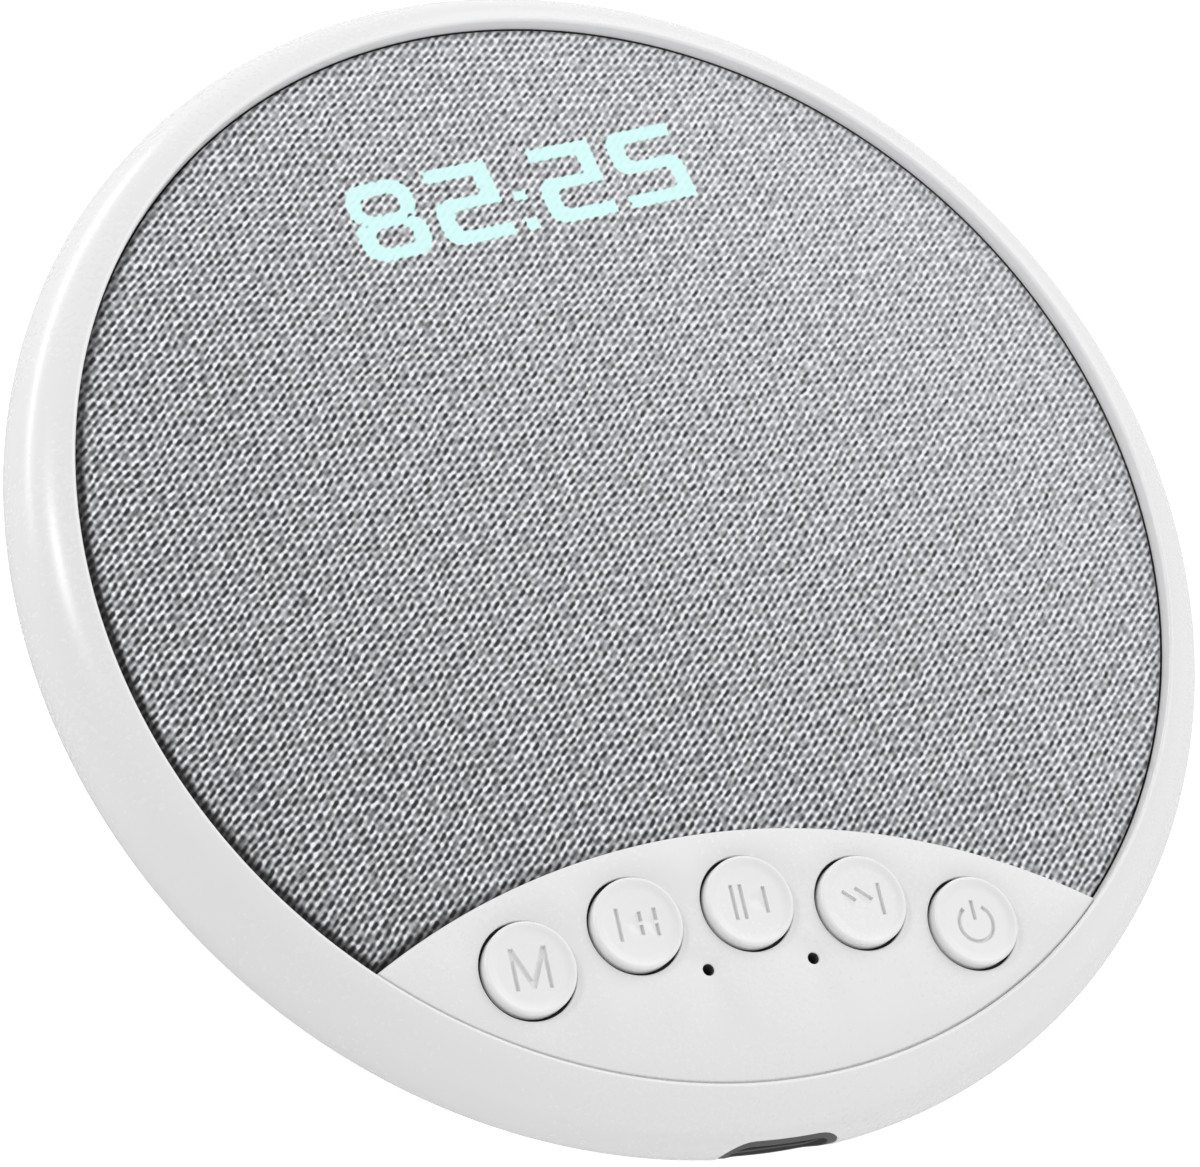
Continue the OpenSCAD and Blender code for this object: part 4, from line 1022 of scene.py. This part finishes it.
def usb_shell():
    s = Shape()
    r = USB_WALL / 2
    rings = [(0, USB_Y + USB_LEN), (0, USB_Y + r)]
    for k in range(1, 8):
        a = math.pi * k / 8
        rings.append((r * (1 - math.cos(a)), USB_Y + r - r * math.sin(a)))
    rings += [(USB_WALL, USB_Y + r), (USB_WALL, USB_Y + USB_LEN)]
    base = stadium(USB_W, USB_H)
    s.rings([in_port(shrink(base, d), y) for d, y in rings], loop=True)
    return s.piece("usb_shell_tube", [port_steel], "body", "usb_shell")


def usb_tongue():
    s = Shape()
    back = USB_Y + USB_LEN
    base = shrink(stadium(USB_W, USB_H), USB_WALL + 0.05)
    s.rings([in_port(base, back - 2.2), in_port(base, back)], cap=(True, True))
    half_w, half_t = 3.35, 0.35
    tongue = rounded([(x, y, 0.12) for x, y in box_loop(-half_w, -half_t, half_w, half_t)], 30)
    rows = ((back - 2.0, 0), (USB_Y + 0.5, 0), (USB_Y + 0.35, 0.08), (USB_Y + 0.3, 0.16))
    s.rings([in_port(shrink(tongue, d), y) for y, d in rows], cap=(True, True))
    contacts, pitch, contact_w, contact_t = 12, 0.5, 0.26, 0.02
    for k in range(contacts):
        x = (k - (contacts - 1) / 2) * pitch
        for z in (Z_PORT + half_t, Z_PORT - half_t - contact_t):
            low = (x - contact_w / 2, USB_Y + 0.8, z)
            s.box(low, (x + contact_w / 2, USB_Y + 4.2, z + contact_t), 1)
    return s.piece("usb_tongue_board", [dark_plastic, brass], "body", "usb_tongue")


front_housing()
rear_cover()
foot_ring()
control_panel()
signs = [sign_mode(), sign_previous(), sign_play(), sign_next(), sign_power()]
for number, (name, sign) in enumerate(zip(KEY_NAMES, signs)):
    key(name, number - 2, sign)
sheet = grille_cloth()
surround_lip()
surround_roll()
usb_shell()
usb_tongue()


# Stage, lights and camera

def floor():
    data = bpy.data.meshes.new("floor")
    half = 3.0
    corners = level(box_loop(-half, -half, half, half), 0.0).tolist()
    data.from_pydata(corners, [], [(0, 1, 2, 3)])
    obj = bpy.data.objects.new("floor", data)
    bpy.context.scene.collection.objects.link(obj)
    g = Graph("floor_paper")
    x, y, z = g.place()
    grain = g.noise(g.vector(x, y, z), 0.5, 3.0)
    path = g.node("ShaderNodeLightPath")
    seen = Value(g, path.outputs["Is Camera Ray"])
    paper_tone = g.ramp(grain, [(0.3, (0.84, 0.84, 0.84)), (0.7, (0.87, 0.87, 0.87))])
    g.set(Base_Color=paper_tone, Roughness=0.9, Specular_IOR_Level=0.0)
    g.set(Emission_Color=(1, 1, 1, 1), Emission_Strength=seen * 0.55)
    data.materials.append(g.mat)


def area_light(name, at, size, power):
    lamp_data = bpy.data.lights.new(name, "AREA")
    lamp_data.shape = "RECTANGLE"
    lamp_data.size, lamp_data.size_y = size
    lamp_data.energy = power
    obj = bpy.data.objects.new(name, lamp_data)
    obj.location = at
    obj.rotation_euler = (Vector(AIM) - Vector(at)).to_track_quat("-Z", "Y").to_euler()
    bpy.context.scene.collection.objects.link(obj)


WORLD_LIGHT, WORLD_SLOPE = 0.936, (0.205, -0.36, -0.36)
AIM = (0, 0, 0.01)
LIGHTS = [
    ("upper_right", (0.35, 0.4, 0.45), (0.6, 0.6), 1.74),
    ("key_left", (-0.47, 0.25, 0.45), (0.12, 0.12), 0.8),
    ("back_left", (-0.42, 0.5, 0.04), (0.6, 0.06), 1.2),
]


def world():
    """White surroundings, brightest towards the front and the horizon."""
    w = bpy.data.worlds.new("studio")
    bpy.context.scene.world = w
    w.use_nodes = True
    tree = w.node_tree
    back = tree.nodes["Background"]
    back.inputs["Color"].default_value = (1, 1, 1, 1)
    place = tree.nodes.new("ShaderNodeTexCoord")
    slope = tree.nodes.new("ShaderNodeVectorMath")
    slope.operation = "DOT_PRODUCT"
    slope.inputs[1].default_value = WORLD_SLOPE
    total = tree.nodes.new("ShaderNodeMath")
    total.inputs[1].default_value = WORLD_LIGHT
    tree.links.new(place.outputs["Generated"], slope.inputs[0])
    tree.links.new(slope.outputs["Value"], total.inputs[0])
    tree.links.new(total.outputs[0], back.inputs["Strength"])


def camera():
    """The photograph's camera, as fitted to the photograph: its axes and its place."""
    data = bpy.data.cameras.new("camera")
    data.sensor_width = 36
    data.lens = 97.762
    data.clip_start = 0.01
    obj = bpy.data.objects.new("camera", data)
    right = Vector((0.910111, -0.212299, 0.355848))
    up = Vector((0.04951, 0.90834, 0.415291))
    back = Vector((-0.411397, -0.360343, 0.837201))
    at = Vector((-119.6801, -105.2078, 245.2131)) * MM
    turn = Matrix((right, up, back)).transposed()
    obj.matrix_world = Matrix.Translation(at) @ turn.to_4x4()
    bpy.context.scene.collection.objects.link(obj)
    bpy.context.scene.camera = obj


floor()
world()
for light in LIGHTS:
    area_light(*light)
camera()
bpy.context.scene.view_settings.view_transform = "Standard"
